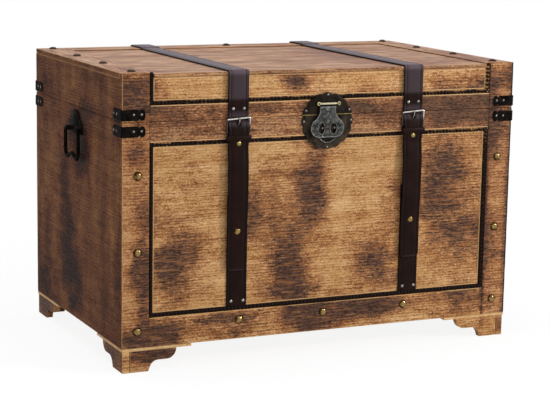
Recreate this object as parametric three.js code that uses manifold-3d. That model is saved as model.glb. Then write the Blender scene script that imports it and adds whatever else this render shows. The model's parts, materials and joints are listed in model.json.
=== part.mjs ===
// A sea chest: a boarded box on bracket feet with a hinged lid, a face frame with rope mouldings,
// two buckled leather straps, a hasp latch, iron corner straps and a drop handle on each side.
// Millimetres, +Z up. The front is at -Y. Pieces are laid out in chest coordinates, where y = 0 is
// the front face of the frame and z = 0 is the floor, and the whole is centred at the end.
import * as THREE from "three";
import { mergeVertices } from "three/addons/utils/BufferGeometryUtils.js";
import Module from "manifold-3d";

const wasm = await Module();
wasm.setup();

// Overall sizes
const chestWidth = 760;
const chestDepth = 476;

// Fits and clearances
const glueLine = 0.3; // between boards that are glued or nailed face to face
const seat = 0.3; // between a fitting and the face that it lies on
const partingGap = 0.8; // between the body and the lid
const runningGap = 0.3; // between parts that turn on each other
const overrun = 5; // how far a cutter runs past what it cuts
const sink = 0.5; // how deep a head is let into what carries it, so that the two join

// Boards
const sideBoard = 14;
const backBoard = 14.5;
const bottomBoard = 12;
const frameThickness = 12; // stiles and rails on the front
const panelRecess = 4; // the front panels lie this far behind the frame's face
const bodyHeight = 387.4; // carcase below the parting line
const lidHeight = 73.8; // carcase above it, under the top boards
const topRailThickness = 8;
const topStep = 2; // the top panel lies this much lower than the rails
const topRailWidth = 54;
const stileWidth = 49;
const bodyUpperRail = 34.7;
const bodyLowerRail = 51.3;
const lidFrontRail = 27.1;

// Rope mouldings round the panels
const ropeWidth = 7.5;
const ropeThickness = 3;
const ropeChamfer = 1.2;

// Feet
const footHeight = 37.7;
const footPlateThickness = 4.4;
const footPlateSize = 128;
const footBoard = 13;
const footInset = 1.5; // from the plate's edge to the foot's face
const footLength = 99.5;
const footToe = 48.1;
const coveLength = 18.4;
const coveHeight = 18.8;
const shoulderLength = 17;
const coveFirstShares = [0.16, 0.64]; // the curve's handles, as shares of its length and height
const coveSecondShares = [0.46, 1];

// Dome nails in the boards
const nailRadius = 7.75;
const nailHeight = 4;
const nailRim = 0.6;
const topNailInset = 27;
const topNailFront = 30;
const topNailBack = 20;
const topNailCount = 4;
const stileNailInset = 28;
const stileNailLow = 29.3; // above the carcase's lower edge
const stileNailHigh = 90.1; // below the carcase's upper edge
const stileNailShare = 0.511; // the middle nail's place between the lower and the upper one
const railNailLift = 34.3;
const railNailInset = 167.7; // from the rail's end to its outer nails

// Iron corner straps
const bracketHeight = 18.6;
const bracketLeaf = 41;
const bracketThickness = 1.3;
const bracketNotch = 2.6;
const bracketTail = 10; // from the notches' centre to the rounded end
const bracketBulge = 2.4;
const bracketNailRadius = 2.5;
const bracketNailHeight = 1.3;
const bracketNailFirst = 20;
const bracketNailSecond = 34;
const lidBracketLift = 2.8;
const bodyBracketDrop = 5.8;

// Leather straps
const strapThickness = 2.8;
const strapWidth = 38;
const lowerStrapWidth = 36;
const strapInset = 209.7; // from the side's face to the strap's middle
const strapBackDrop = 67.5; // how far it reaches down the back of the lid
const strapStepRun = 6; // the length over which it climbs from the top panel to the back rail
const strapBend = 10.1; // the bend line's height above the parting line's middle
const bendGap = 0.6;
const strapRivetRadius = 3;
const strapRivetHeight = 1.8;
const lidRivetLift = 7.4; // above the bend line
const lidRivetSpread = 10;
const backRivetLift = 8; // above the strap's rear end
const tailLength = 274.6;
const tailClip = 5;
const tailRivetRadius = 4.5;
const tailRivetHeight = 1.8;
const tailRivetDrop = 52.8; // below the bend line
const capRadius = 6.5;
const capHeight = 2.6;
const capDrop = 205.6; // below the bend line
const lowerStrapThickness = 2.5;
const lowerStrapRivetLift = 5;
const lowerStrapRivetSpread = 11;
const lowerStrapTopDrop = 97; // its hidden end, below the body's upper rail
const studRadius = 3.4;
const studBaseRadius = 6;
const studBaseHeight = 0.8;

// Buckles
const buckleBar = 3; // section of the frame, both ways
const buckleSide = 2.5;
const buckleGap = 1; // between the strap's edge and the frame's side
const buckleCorner = 3.5;
const buckleSkew = 1.5; // the outer bar's ends rise and fall this much
const buckleTopDrop = 9.6; // the outer bar's middle, below the bend line
const bucklePivotDrop = 36.8; // the pivot bar's middle, below the bend line
const bulgeTopDrop = 13.6; // where the strap starts to rise over the pivot bar
const bulgeFullDrop = 32;
const keeperTopDrop = 39;
const keeperHeight = 9;
const bulgeEndDrop = 49;
const bulgeFootDrop = 61;
const keeperThickness = 1.8;
const keeperOverhang = 3.8;
const prongRadius = 1.1;
const prongSlotWidth = 3.6;
const prongSlotTopDrop = 14.6;
const prongSlotBottomDrop = 29.5;
const prongPastBar = 2.4;

// Hasp latch
const plateRadius = 50.3;
const plateDrop = 10.3; // its centre, below the parting line's middle
const plateThickness = 1.8;
const scallopDepth = 2.5;
const scallopCount = 16;
const plateNailRadius = 2.8;
const plateNailHeight = 1.2;
const plateNailInset = 4.2;
const upperPlateNailAngles = [24, 90, 156]; // degrees round the plate's centre
const lowerPlateNailAngles = [180, 270, 360];
const bossRadius = 20;
const bossDrop = 29.5; // below the parting line's middle
const bossHeight = 1.6;
const postRadius = 2.5;
const postShift = 1.5; // the posts stand this much right of the slots' middles
const haspPinRise = 20.5; // above the parting line's middle
const haspPinStand = 6.6; // from the front face
const haspPinRadius = 1.4;
const haspBarrelRadius = 2.8;
const haspBarrelLength = 34;
const haspEarRadius = 3.2;
const haspEarLength = 5;
const haspEarWeb = 4.4;
const haspThickness = 2.2;
const haspBackStand = 5.6; // the leaf's back, out from the front face
const haspNeck = 32;
const haspNeckDrop = 21; // the neck's shoulders, below the pin
const lobeRadius = 17;
const lobeSpread = 16;
const lobeDrop = 22.5; // below the parting line's middle
const lobeStartAngle = 58; // degrees, where a lobe leaves the neck
const slotSpread = 11.7;
const slotHalfWidth = 5.5;
const slotHalfHeight = 9.5;
const slotDrop = 22.7; // below the parting line's middle

// Butt hinges on the back
const hingeInset = 120; // from the side's face to the hinge's middle
const hingeLength = 64;
const hingeLeaf = 25;
const hingeThickness = 1.5;
const hingeKnuckles = 5;
const hingeBarrelRadius = 4;
const hingePinRadius = 2;
const hingeStand = 4.5; // the pin's axis, out from the back face
const screwRadius = 3;
const screwHeight = 0.8;

// Drop handles on the sides
const handlePlateWidth = 70;
const handlePlateTop = 36; // above the bail's pivots
const handlePlateBottom = 7; // below them
const handlePlateThickness = 2;
const handleShoulder = 16;
const handleDomeHeight = 2.6;
const handleDomeWidth = 38;
const handleDomeTall = 24;
const handleDomeRise = 15; // its centre, above the pivots
const bailPivotDrop = 40.5; // below the parting line's middle
const bailPivotStand = 8.6; // out from the side
const bailPinRadius = 2.2;
const bailBore = 0.4; // between the bail's pins and the lugs' bores
const bailWire = 3.2;
const bailWidth = 70.6; // between the middles of its arms
const bailDrop = 51; // from the pivots to the grip's lowest line
const bailPeak = 8; // the grip's middle rises this much
const bailTaper = 3;
const lugRadius = 4;
const lugLength = 8;
const lugGap = 1.2; // between a lug and the arm beside it

// Facets of round pieces
const nailSides = 10;
const nailSteps = 3;
const smallSides = 8;
const smallSteps = 2;
const barrelSides = 12;
const arcSteps = 6;
const strapArcSteps = 4;
const wireSides = 8;
const scallopSteps = 4;

// Places worked out from the sizes
const halfWidth = chestWidth / 2;
const carcaseFront = frameThickness + glueLine;
const carcaseBack = chestDepth - backBoard;
const carcaseBottom = footHeight + glueLine + footPlateThickness + glueLine;
const bodyTop = carcaseBottom + bodyHeight;
const partingLine = bodyTop + partingGap / 2;
const lidBottom = bodyTop + partingGap;
const lidCarcaseTop = lidBottom + lidHeight;
const topUnderside = lidCarcaseTop + glueLine;
const lidTop = topUnderside + topRailThickness;
const panelTop = lidTop - topStep;
const innerHalf = halfWidth - sideBoard - glueLine;
const railHalf = halfWidth - stileWidth - glueLine;
const bendLine = partingLine + strapBend;
const strapFace = seat + strapThickness; // a strap's outer face, out from the front

// Materials
function finish(color, roughness, metalness) {
  return new THREE.MeshStandardMaterial({ color, roughness, metalness });
}
const honeyWood = finish(0xb5834f, 0.7, 0);
const smokedWood = finish(0x6b4a38, 0.72, 0);
const sideWood = finish(0x6e4a36, 0.72, 0);
const topWood = finish(0x9c7c66, 0.68, 0);
const plyWood = finish(0xc79a5e, 0.75, 0);
const darkRope = finish(0x2b1a14, 0.6, 0);
const strapLeather = finish(0x33262a, 0.48, 0);
const blackIron = finish(0x1f1f20, 0.42, 0.9);
const engravedSteel = finish(0x6d6e70, 0.4, 0.95);
const nickel = finish(0xcfccc6, 0.22, 1);
const hingeSteel = finish(0x4a4640, 0.45, 0.9);

// Solids from geometries and back
function solidOf(geometry) {
  const bare = geometry.clone();
  for (const key of Object.keys(bare.attributes)) {
    if (key !== "position") bare.deleteAttribute(key);
  }
  const merged = mergeVertices(bare);
  return new wasm.Manifold(
    new wasm.Mesh({
      numProp: 3,
      vertProperties: merged.attributes.position.array,
      triVerts: new Uint32Array(merged.index.array),
    }),
  );
}

function geometryOf(solid) {
  const mesh = solid.getMesh();
  const geometry = new THREE.BufferGeometry();
  geometry.setAttribute("position", new THREE.BufferAttribute(mesh.vertProperties, mesh.numProp));
  geometry.setIndex(new THREE.BufferAttribute(mesh.triVerts, 1));
  geometry.computeVertexNormals();
  return geometry;
}

function fuse(...geometries) {
  return geometryOf(geometries.map(solidOf).reduce((all, one) => all.add(one)));
}

function cut(geometry, ...cutters) {
  return geometryOf(cutters.map(solidOf).reduce((left, one) => left.subtract(one), solidOf(geometry)));
}

function common(a, b) {
  return geometryOf(solidOf(a).intersect(solidOf(b)));
}

// A box between two corners
function block(x0, x1, y0, y1, z0, z1) {
  const geometry = new THREE.BoxGeometry(x1 - x0, y1 - y0, z1 - z0);
  geometry.translate((x0 + x1) / 2, (y0 + y1) / 2, (z0 + z1) / 2);
  return geometry;
}

// A shape drawn across X and Z, running from y0 to y1
function frontSlab(shape, y0, y1, curveSegments = arcSteps) {
  const geometry = new THREE.ExtrudeGeometry(shape, { depth: y1 - y0, bevelEnabled: false, curveSegments });
  geometry.rotateX(Math.PI / 2);
  geometry.translate(0, y1, 0);
  return geometry;
}

// A shape drawn across Y and Z, running from x0 to x1
function sideSlab(shape, x0, x1, curveSegments = arcSteps) {
  const geometry = new THREE.ExtrudeGeometry(shape, { depth: x1 - x0, bevelEnabled: false, curveSegments });
  const along = new THREE.Vector3(0, 1, 0);
  const up = new THREE.Vector3(0, 0, 1);
  const across = new THREE.Vector3(1, 0, 0);
  geometry.applyMatrix4(new THREE.Matrix4().makeBasis(along, up, across));
  geometry.translate(x0, 0, 0);
  return geometry;
}

// A round bar along X
function barX(radius, x0, x1, y, z, sides = barrelSides) {
  const geometry = new THREE.CylinderGeometry(radius, radius, x1 - x0, sides);
  geometry.rotateZ(Math.PI / 2);
  geometry.translate((x0 + x1) / 2, y, z);
  return geometry;
}

// A round bar along Y
function barY(radius, y0, y1, x, z, sides = barrelSides) {
  const geometry = new THREE.CylinderGeometry(radius, radius, y1 - y0, sides);
  geometry.translate(x, (y0 + y1) / 2, z);
  return geometry;
}

// A domed head that stands on a point and faces along a direction, sunk a little into its carrier
function dome(point, facing, radius, height, rim, sides = nailSides, steps = nailSteps) {
  const profile = [new THREE.Vector2(0, -sink), new THREE.Vector2(radius, -sink)];
  for (let i = 0; i < steps; i++) {
    const angle = ((Math.PI / 2) * i) / steps;
    profile.push(new THREE.Vector2(radius * Math.cos(angle), rim + (height - rim) * Math.sin(angle)));
  }
  profile.push(new THREE.Vector2(0, height));
  const geometry = new THREE.LatheGeometry(profile, sides);
  geometry.applyQuaternion(new THREE.Quaternion().setFromUnitVectors(new THREE.Vector3(0, 1, 0), facing));
  geometry.translate(point.x, point.y, point.z);
  return geometry;
}

const toFront = new THREE.Vector3(0, -1, 0);
const toBack = new THREE.Vector3(0, 1, 0);
const toTop = new THREE.Vector3(0, 0, 1);

function frontNail(x, z) {
  return dome(new THREE.Vector3(x, 0, z), toFront, nailRadius, nailHeight, nailRim);
}

// A band of even thickness that lies on the left of a path of (y, z) points.
// Where the path turns away from the band the outside is rounded, and elsewhere it is mitred.
function bandShape(path, thickness) {
  const outer = [];
  const normalOf = (from, to) => new THREE.Vector2(from.y - to.y, to.x - from.x).normalize();
  path.forEach((point, i) => {
    const before = i > 0 ? normalOf(path[i - 1], point) : null;
    const after = i < path.length - 1 ? normalOf(point, path[i + 1]) : null;
    const first = before ?? after;
    const last = after ?? before;
    const turn = first.angleTo(last);
    const sharp = turn > Math.PI / 4 && first.cross(last) < 0;
    if (sharp) {
      const from = Math.atan2(first.y, first.x);
      for (let k = 0; k <= strapArcSteps; k++) {
        const angle = from - (turn * k) / strapArcSteps;
        outer.push(new THREE.Vector2(Math.cos(angle), Math.sin(angle)).multiplyScalar(thickness).add(point));
      }
    } else {
      const middle = first.clone().add(last).normalize();
      outer.push(middle.multiplyScalar(thickness / middle.dot(first)).add(point));
    }
  });
  return new THREE.Shape([...path, ...outer.reverse()]);
}

// Groups: the body stands still, and the others turn about their pins
const chest = new THREE.Group();

function turningGroup(parent, parentOrigin, origin) {
  const group = new THREE.Group();
  group.position.copy(origin).sub(parentOrigin);
  parent.add(group);
  return { group, origin };
}

const still = new THREE.Vector3(0, 0, 0);
const body = turningGroup(chest, still, still);
const hingeAxis = new THREE.Vector3(0, chestDepth + hingeStand, partingLine);
const lid = turningGroup(chest, still, hingeAxis);
const haspAxis = new THREE.Vector3(0, -haspPinStand, partingLine + haspPinRise);
const haspPart = turningGroup(lid.group, hingeAxis, haspAxis);

// Puts a geometry, made in chest coordinates, into a group as a mesh placed at its own middle
function addPiece(part, name, material, geometry) {
  geometry.computeBoundingBox();
  const middle = geometry.boundingBox.getCenter(new THREE.Vector3());
  geometry.translate(-middle.x, -middle.y, -middle.z);
  const mesh = new THREE.Mesh(geometry, material);
  mesh.name = name;
  mesh.position.copy(middle).sub(part.origin);
  part.group.add(mesh);
}

const sides = [
  { name: "left", sign: -1 },
  { name: "right", sign: 1 },
];

// A block that lies between two distances from the middle, on one side of the chest
function sideBlock(sign, near, far, y0, y1, z0, z1) {
  return sign < 0 ? block(-far, -near, y0, y1, z0, z1) : block(near, far, y0, y1, z0, z1);
}

// Boards of the body
function makeBodyBoards() {
  const backInside = carcaseBack - glueLine;
  addPiece(
    body, "bottom_board", plyWood,
    block(-innerHalf, innerHalf, carcaseFront, backInside, carcaseBottom, carcaseBottom + bottomBoard),
  );
  addPiece(
    body, "body_back_board", sideWood,
    block(-halfWidth, halfWidth, carcaseBack, chestDepth, carcaseBottom, bodyTop),
  );
  addPiece(
    body, "body_front_panel", honeyWood,
    block(
      -railHalf, railHalf, panelRecess, frameThickness,
      carcaseBottom + bodyLowerRail + glueLine, bodyTop - bodyUpperRail - glueLine,
    ),
  );
  for (const { name, sign } of sides) {
    addPiece(
      body, `body_${name}_board`, sideWood,
      sideBlock(sign, halfWidth - sideBoard, halfWidth, carcaseFront, backInside, carcaseBottom, bodyTop),
    );
  }
}

// Stiles and rails of the body's face frame, with their dome nails
function makeBodyFrame() {
  const nailX = halfWidth - stileNailInset;
  const lowNail = carcaseBottom + stileNailLow;
  const highNail = bodyTop - stileNailHigh;
  const middleNail = lowNail + (highNail - lowNail) * stileNailShare;
  for (const { name, sign } of sides) {
    addPiece(
      body, `body_${name}_stile`, honeyWood,
      fuse(
        sideBlock(sign, halfWidth - stileWidth, halfWidth, 0, frameThickness, carcaseBottom, bodyTop),
        ...[lowNail, middleNail, highNail].map((z) => frontNail(sign * nailX, z)),
      ),
    );
  }
  addPiece(
    body, "body_upper_rail", smokedWood,
    block(-railHalf, railHalf, 0, frameThickness, bodyTop - bodyUpperRail, bodyTop),
  );
  const railNailZ = carcaseBottom + railNailLift;
  addPiece(
    body, "body_lower_rail", smokedWood,
    fuse(
      block(-railHalf, railHalf, 0, frameThickness, carcaseBottom, carcaseBottom + bodyLowerRail),
      ...[-1, 0, 1].map((k) => frontNail(k * (railHalf - railNailInset), railNailZ)),
    ),
  );
}

// Rope moulding: a chamfered strip round a panel's edge, given by its outer corners.
// An open top leaves out the upper strip.
function ropeFrame(half, low, high, openTop) {
  const back = panelRecess - seat;
  const front = back - ropeThickness;
  const ring = (inset, y0, y1) => {
    const top = openTop ? high : high - inset;
    const outline = new THREE.Shape([
      new THREE.Vector2(-half + inset, low + inset),
      new THREE.Vector2(half - inset, low + inset),
      new THREE.Vector2(half - inset, top),
      new THREE.Vector2(-half + inset, top),
    ]);
    const hole = half - ropeWidth + inset;
    const holeLow = low + ropeWidth - inset;
    const holeHigh = openTop ? high + overrun : high - ropeWidth + inset;
    const window = block(-hole, hole, -y1 - overrun, -y0 + overrun, holeLow, holeHigh);
    return cut(frontSlab(outline, -y1, -y0), window);
  };
  // Drawn with the depth measured outwards, so that the two layers share the flat back
  const base = ring(0, -back, -(front + ropeChamfer));
  const crest = ring(ropeChamfer, -back, -front);
  return fuse(base, crest);
}

function makeRopes() {
  const low = carcaseBottom + bodyLowerRail + glueLine;
  const high = bodyTop - bodyUpperRail - glueLine;
  addPiece(body, "body_rope_moulding", darkRope, ropeFrame(railHalf, low, high, false));
  const lidLow = lidBottom + lidFrontRail + glueLine;
  addPiece(lid, "lid_rope_moulding", darkRope, ropeFrame(railHalf, lidLow, panelTop, true));
}

// One board of a bracket foot, drawn inwards from its outer corner: a toe, a cove and a rounded shoulder
function footShape(direction, start) {
  const shape = new THREE.Shape();
  const at = (u) => direction * u + start;
  const shoulderStart = footLength - shoulderLength;
  shape.moveTo(at(0), 0);
  shape.lineTo(at(footToe), 0);
  shape.bezierCurveTo(
    at(footToe + coveLength * coveFirstShares[0]), coveHeight * coveFirstShares[1],
    at(footToe + coveLength * coveSecondShares[0]), coveHeight * coveSecondShares[1],
    at(footToe + coveLength), coveHeight,
  );
  for (let i = 0; i <= arcSteps; i++) {
    const angle = ((Math.PI / 2) * i) / arcSteps;
    const rise = (footHeight - coveHeight) * (1 - Math.cos(angle));
    shape.lineTo(at(shoulderStart + shoulderLength * Math.sin(angle)), coveHeight + rise);
  }
  shape.lineTo(at(0), footHeight);
  return shape;
}

function makeFeet() {
  const plateTop = carcaseBottom - glueLine;
  for (const { name, sign } of sides) {
    for (const end of ["front", "back"]) {
      const edgeY = end === "front" ? 0 : chestDepth;
      const inward = end === "front" ? 1 : -1;
      const outerX = sign * (halfWidth - footInset);
      const innerX = outerX - sign * footBoard;
      const outerY = edgeY + inward * footInset;
      const innerY = outerY + inward * footBoard;
      const across = footShape(-sign, outerX);
      const along = footShape(inward, outerY);
      const acrossBoard = frontSlab(across, Math.min(outerY, innerY), Math.max(outerY, innerY));
      const alongBoard = sideSlab(along, Math.min(outerX, innerX), Math.max(outerX, innerX));
      addPiece(body, `${end}_${name}_foot`, sideWood, fuse(acrossBoard, alongBoard));
      const farY = edgeY + inward * footPlateSize;
      addPiece(
        body, `${end}_${name}_foot_plate`, plyWood,
        sideBlock(
          sign, halfWidth - footPlateSize, halfWidth,
          Math.min(edgeY, farY), Math.max(edgeY, farY), plateTop - footPlateThickness, plateTop,
        ),
      );
    }
  }
}

// Boards of the lid, with the top rails' dome nails
function makeLidBoards() {
  const backInside = carcaseBack - glueLine;
  const railInner = halfWidth - topRailWidth;
  const backRailFront = chestDepth - topRailWidth;
  const panelHalf = railInner - glueLine;
  const tongueHalf = railHalf - ropeWidth - glueLine;
  addPiece(
    lid, "lid_front_panel", honeyWood,
    block(
      -railHalf, railHalf, panelRecess, frameThickness,
      lidBottom + lidFrontRail + glueLine, lidCarcaseTop,
    ),
  );
  addPiece(
    lid, "lid_back_board", sideWood,
    block(-halfWidth, halfWidth, carcaseBack, chestDepth, lidBottom, lidCarcaseTop),
  );
  addPiece(
    lid, "lid_top_panel", topWood,
    fuse(
      block(-panelHalf, panelHalf, carcaseFront, backRailFront - glueLine, topUnderside, panelTop),
      block(-tongueHalf, tongueHalf, 0, carcaseFront + sink, topUnderside, panelTop),
    ),
  );
  addPiece(
    lid, "lid_back_rail", topWood,
    fuse(
      block(-panelHalf, panelHalf, backRailFront, chestDepth, topUnderside, lidTop),
      dome(new THREE.Vector3(0, chestDepth - topNailInset, lidTop), toTop, nailRadius, nailHeight, nailRim),
    ),
  );
  const nailStep = (chestDepth - topNailFront - topNailBack) / (topNailCount - 1);
  for (const { name, sign } of sides) {
    addPiece(
      lid, `lid_${name}_board`, sideWood,
      sideBlock(sign, halfWidth - sideBoard, halfWidth, carcaseFront, backInside, lidBottom, lidCarcaseTop),
    );
    const nails = Array.from({ length: topNailCount }, (_, i) => {
      const point = new THREE.Vector3(sign * (halfWidth - topNailInset), topNailFront + i * nailStep, lidTop);
      return dome(point, toTop, nailRadius, nailHeight, nailRim);
    });
    addPiece(
      lid, `lid_${name}_rail`, topWood,
      fuse(sideBlock(sign, railInner, halfWidth, carcaseFront, chestDepth, topUnderside, lidTop), ...nails),
    );
    addPiece(
      lid, `lid_${name}_stile`, smokedWood,
      sideBlock(sign, halfWidth - stileWidth, halfWidth, 0, frameThickness, lidBottom, lidTop),
    );
  }
  addPiece(
    lid, "lid_front_rail", smokedWood,
    block(-railHalf, railHalf, 0, frameThickness, lidBottom, lidBottom + lidFrontRail),
  );
}

// One leaf of a corner strap, drawn outwards from the corner: straight, two notches and a rounded end
function bracketShape(direction, start, low) {
  const at = (u) => direction * u + start;
  const high = low + bracketHeight;
  const middle = low + bracketHeight / 2;
  const notch = bracketLeaf - bracketTail;
  const tailEdge = bracketLeaf - bracketBulge;
  const shape = new THREE.Shape();
  const steps = strapArcSteps;
  shape.moveTo(at(-seat), low);
  for (let i = 0; i <= steps; i++) {
    const angle = (Math.PI * i) / steps;
    shape.lineTo(at(notch - bracketNotch * Math.cos(angle)), low + bracketNotch * Math.sin(angle));
  }
  for (let i = 0; i <= steps; i++) {
    const share = (2 * i) / steps - 1;
    shape.lineTo(at(tailEdge + bracketBulge * (1 - share * share)), middle + (share * bracketHeight) / 2);
  }
  for (let i = steps; i >= 0; i--) {
    const angle = (Math.PI * i) / steps;
    shape.lineTo(at(notch - bracketNotch * Math.cos(angle)), high - bracketNotch * Math.sin(angle));
  }
  shape.lineTo(at(-seat), high);
  return shape;
}

function cornerStrap(sign, atFront, low) {
  const faceY = atFront ? 0 : chestDepth;
  const inward = atFront ? 1 : -1;
  const outY = (distance) => faceY - inward * distance;
  const near = seat;
  const far = seat + bracketThickness;
  const acrossLeaf = frontSlab(
    bracketShape(-sign, sign * halfWidth, low),
    Math.min(outY(near), outY(far)),
    Math.max(outY(near), outY(far)),
  );
  const sideNear = sign * (halfWidth + near);
  const sideFar = sign * (halfWidth + far);
  const alongLeaf = sideSlab(
    bracketShape(inward, faceY, low),
    Math.min(sideNear, sideFar),
    Math.max(sideNear, sideFar),
  );
  const corner = sideBlock(
    sign, halfWidth + near, halfWidth + far,
    Math.min(outY(near), outY(far)), Math.max(outY(near), outY(far)),
    low, low + bracketHeight,
  );
  const z = low + bracketHeight / 2;
  const toSide = new THREE.Vector3(sign, 0, 0);
  const nails = [bracketNailFirst, bracketNailSecond].flatMap((reach) => [
    dome(
      new THREE.Vector3(sign * (halfWidth - reach), outY(far), z), atFront ? toFront : toBack,
      bracketNailRadius, bracketNailHeight, 0, smallSides, smallSteps,
    ),
    dome(
      new THREE.Vector3(sideFar, faceY + inward * reach, z), toSide,
      bracketNailRadius, bracketNailHeight, 0, smallSides, smallSteps,
    ),
  ]);
  return fuse(acrossLeaf, corner, alongLeaf, ...nails);
}

function makeCornerStraps() {
  for (const { name, sign } of sides) {
    for (const end of ["front", "back"]) {
      const atFront = end === "front";
      const lidLow = lidBottom + lidBracketLift;
      const bodyLow = bodyTop - bodyBracketDrop - bracketHeight;
      addPiece(lid, `lid_${end}_${name}_corner_strap`, blackIron, cornerStrap(sign, atFront, lidLow));
      addPiece(body, `body_${end}_${name}_corner_strap`, blackIron, cornerStrap(sign, atFront, bodyLow));
    }
  }
}

// A small rivet head on a strap's face
function rivet(x, y, z, facing, radius = strapRivetRadius, height = strapRivetHeight) {
  return dome(new THREE.Vector3(x, y, z), facing, radius, height, 0, smallSides, smallSteps);
}

// The strap that is nailed over the lid, from its back edge to the bend line on the front
function lidStrap(middleX) {
  const endZ = lidTop - strapBackDrop;
  const railEdge = chestDepth - topRailWidth - seat;
  const path = [
    new THREE.Vector2(-seat, bendLine + bendGap / 2),
    new THREE.Vector2(-seat, panelTop + seat),
    new THREE.Vector2(railEdge - strapStepRun, panelTop + seat),
    new THREE.Vector2(railEdge, lidTop + seat),
    new THREE.Vector2(chestDepth + seat, lidTop + seat),
    new THREE.Vector2(chestDepth + seat, endZ),
  ];
  const x0 = middleX - strapWidth / 2;
  const frontRivetZ = bendLine + lidRivetLift;
  const backRivetZ = endZ + backRivetLift;
  return fuse(
    sideSlab(bandShape(path, strapThickness), x0, x0 + strapWidth),
    ...[-1, 1].flatMap((k) => [
      rivet(middleX + k * lidRivetSpread, -strapFace, frontRivetZ, toFront),
      rivet(middleX + k * lidRivetSpread, chestDepth + strapFace, backRivetZ, toBack),
    ]),
  );
}

// The strap that is nailed to the body's front panel and hides under the tail
function lowerStrap(middleX) {
  const low = carcaseBottom + bodyLowerRail + glueLine + ropeWidth + seat;
  const high = bodyTop - bodyUpperRail - lowerStrapTopDrop;
  const back = panelRecess - seat;
  const face = back - lowerStrapThickness;
  const x0 = middleX - lowerStrapWidth / 2;
  const studZ = bendLine - capDrop;
  const rivetZ = low + lowerStrapRivetLift;
  return fuse(
    block(x0, x0 + lowerStrapWidth, face, back, low, high),
    barY(studBaseRadius, face - studBaseHeight, face + sink, middleX, studZ),
    barY(studRadius, 0, face + sink, middleX, studZ, smallSides),
    ...[-1, 1].map((k) => rivet(middleX + k * lowerStrapRivetSpread, face, rivetZ, toFront)),
  );
}

// The free end of the strap: it lies under the buckle's outer bar, rises over the pivot bar,
// passes through the keeper and hangs down to its clipped end
function strapTail(middleX) {
  const rise = seat + buckleBar + 2 * runningGap; // its back face over the pivot bar
  const low = bendLine - tailLength;
  const path = [
    new THREE.Vector2(-seat, low),
    new THREE.Vector2(-seat, bendLine - bulgeFootDrop),
    new THREE.Vector2(-rise, bendLine - bulgeEndDrop),
    new THREE.Vector2(-rise, bendLine - bulgeFullDrop),
    new THREE.Vector2(-seat, bendLine - bulgeTopDrop),
    new THREE.Vector2(-seat, bendLine - bendGap / 2),
  ];
  const half = strapWidth / 2;
  const band = sideSlab(bandShape(path, strapThickness), middleX - half, middleX + half);
  const outline = new THREE.Shape([
    new THREE.Vector2(middleX - half + tailClip, low),
    new THREE.Vector2(middleX + half - tailClip, low),
    new THREE.Vector2(middleX + half, low + tailClip),
    new THREE.Vector2(middleX + half, bendLine),
    new THREE.Vector2(middleX - half, bendLine),
    new THREE.Vector2(middleX - half, low + tailClip),
  ]);
  const clipped = common(band, frontSlab(outline, -rise - strapThickness - overrun, overrun));
  const slot = block(
    middleX - prongSlotWidth / 2, middleX + prongSlotWidth / 2,
    -rise - strapThickness - overrun, overrun,
    bendLine - prongSlotBottomDrop, bendLine - prongSlotTopDrop,
  );
  const keeperTop = bendLine - keeperTopDrop;
  const keeperHalf = half + keeperOverhang;
  const keeper = block(
    middleX - keeperHalf, middleX + keeperHalf,
    -rise - strapThickness - keeperThickness, -rise + keeperThickness,
    keeperTop - keeperHeight, keeperTop,
  );
  const slopeShare = (bulgeFootDrop - tailRivetDrop) / (bulgeFootDrop - bulgeEndDrop);
  const rivetFace = strapFace + (rise - seat) * slopeShare;
  return fuse(
    cut(clipped, slot),
    keeper,
    rivet(middleX, -rivetFace, bendLine - tailRivetDrop, toFront, tailRivetRadius, tailRivetHeight),
    rivet(middleX, -strapFace, bendLine - capDrop, toFront, capRadius, capHeight),
  );
}

// The buckle's frame: a bent ring whose outer bar lies on the strap and whose pivot bar lies behind it
function buckleFrame(middleX) {
  const top = bendLine - buckleTopDrop;
  const pivot = bendLine - bucklePivotDrop;
  const innerHalf = strapWidth / 2 + buckleGap;
  const outerHalf = innerHalf + buckleSide;
  const barHalf = buckleBar / 2;
  const ring = (half, topZ, bottomZ, corner) => {
    const skew = (buckleSkew * half) / outerHalf;
    const shape = new THREE.Shape();
    shape.moveTo(-half, bottomZ + corner);
    shape.lineTo(-half, topZ - skew - corner);
    shape.quadraticCurveTo(-half, topZ - skew, -half + corner, topZ - skew);
    shape.lineTo(half - corner, topZ + skew);
    shape.quadraticCurveTo(half, topZ + skew, half, topZ + skew - corner);
    shape.lineTo(half, bottomZ + corner);
    shape.quadraticCurveTo(half, bottomZ, half - corner, bottomZ);
    shape.lineTo(-half + corner, bottomZ);
    shape.quadraticCurveTo(-half, bottomZ, -half, bottomZ + corner);
    return shape;
  };
  const middleZ = (top + pivot) / 2;
  const halfTall = (top - pivot) / 2;
  const whole = frontSlab(
    ring(outerHalf, halfTall + barHalf, -halfTall - barHalf, buckleCorner), -barHalf, barHalf, strapArcSteps,
  );
  const window = frontSlab(
    ring(innerHalf, halfTall - barHalf, -halfTall + barHalf, buckleCorner - buckleSide / 2),
    -overrun, overrun, strapArcSteps,
  );
  const frame = cut(whole, window);
  const outerStand = strapFace + runningGap + barHalf;
  const pivotStand = seat + runningGap / 2 + barHalf;
  frame.rotateX(Math.atan((outerStand - pivotStand) / (top - pivot)));
  frame.translate(middleX, -(outerStand + pivotStand) / 2, middleZ);
  return frame;
}

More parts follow.
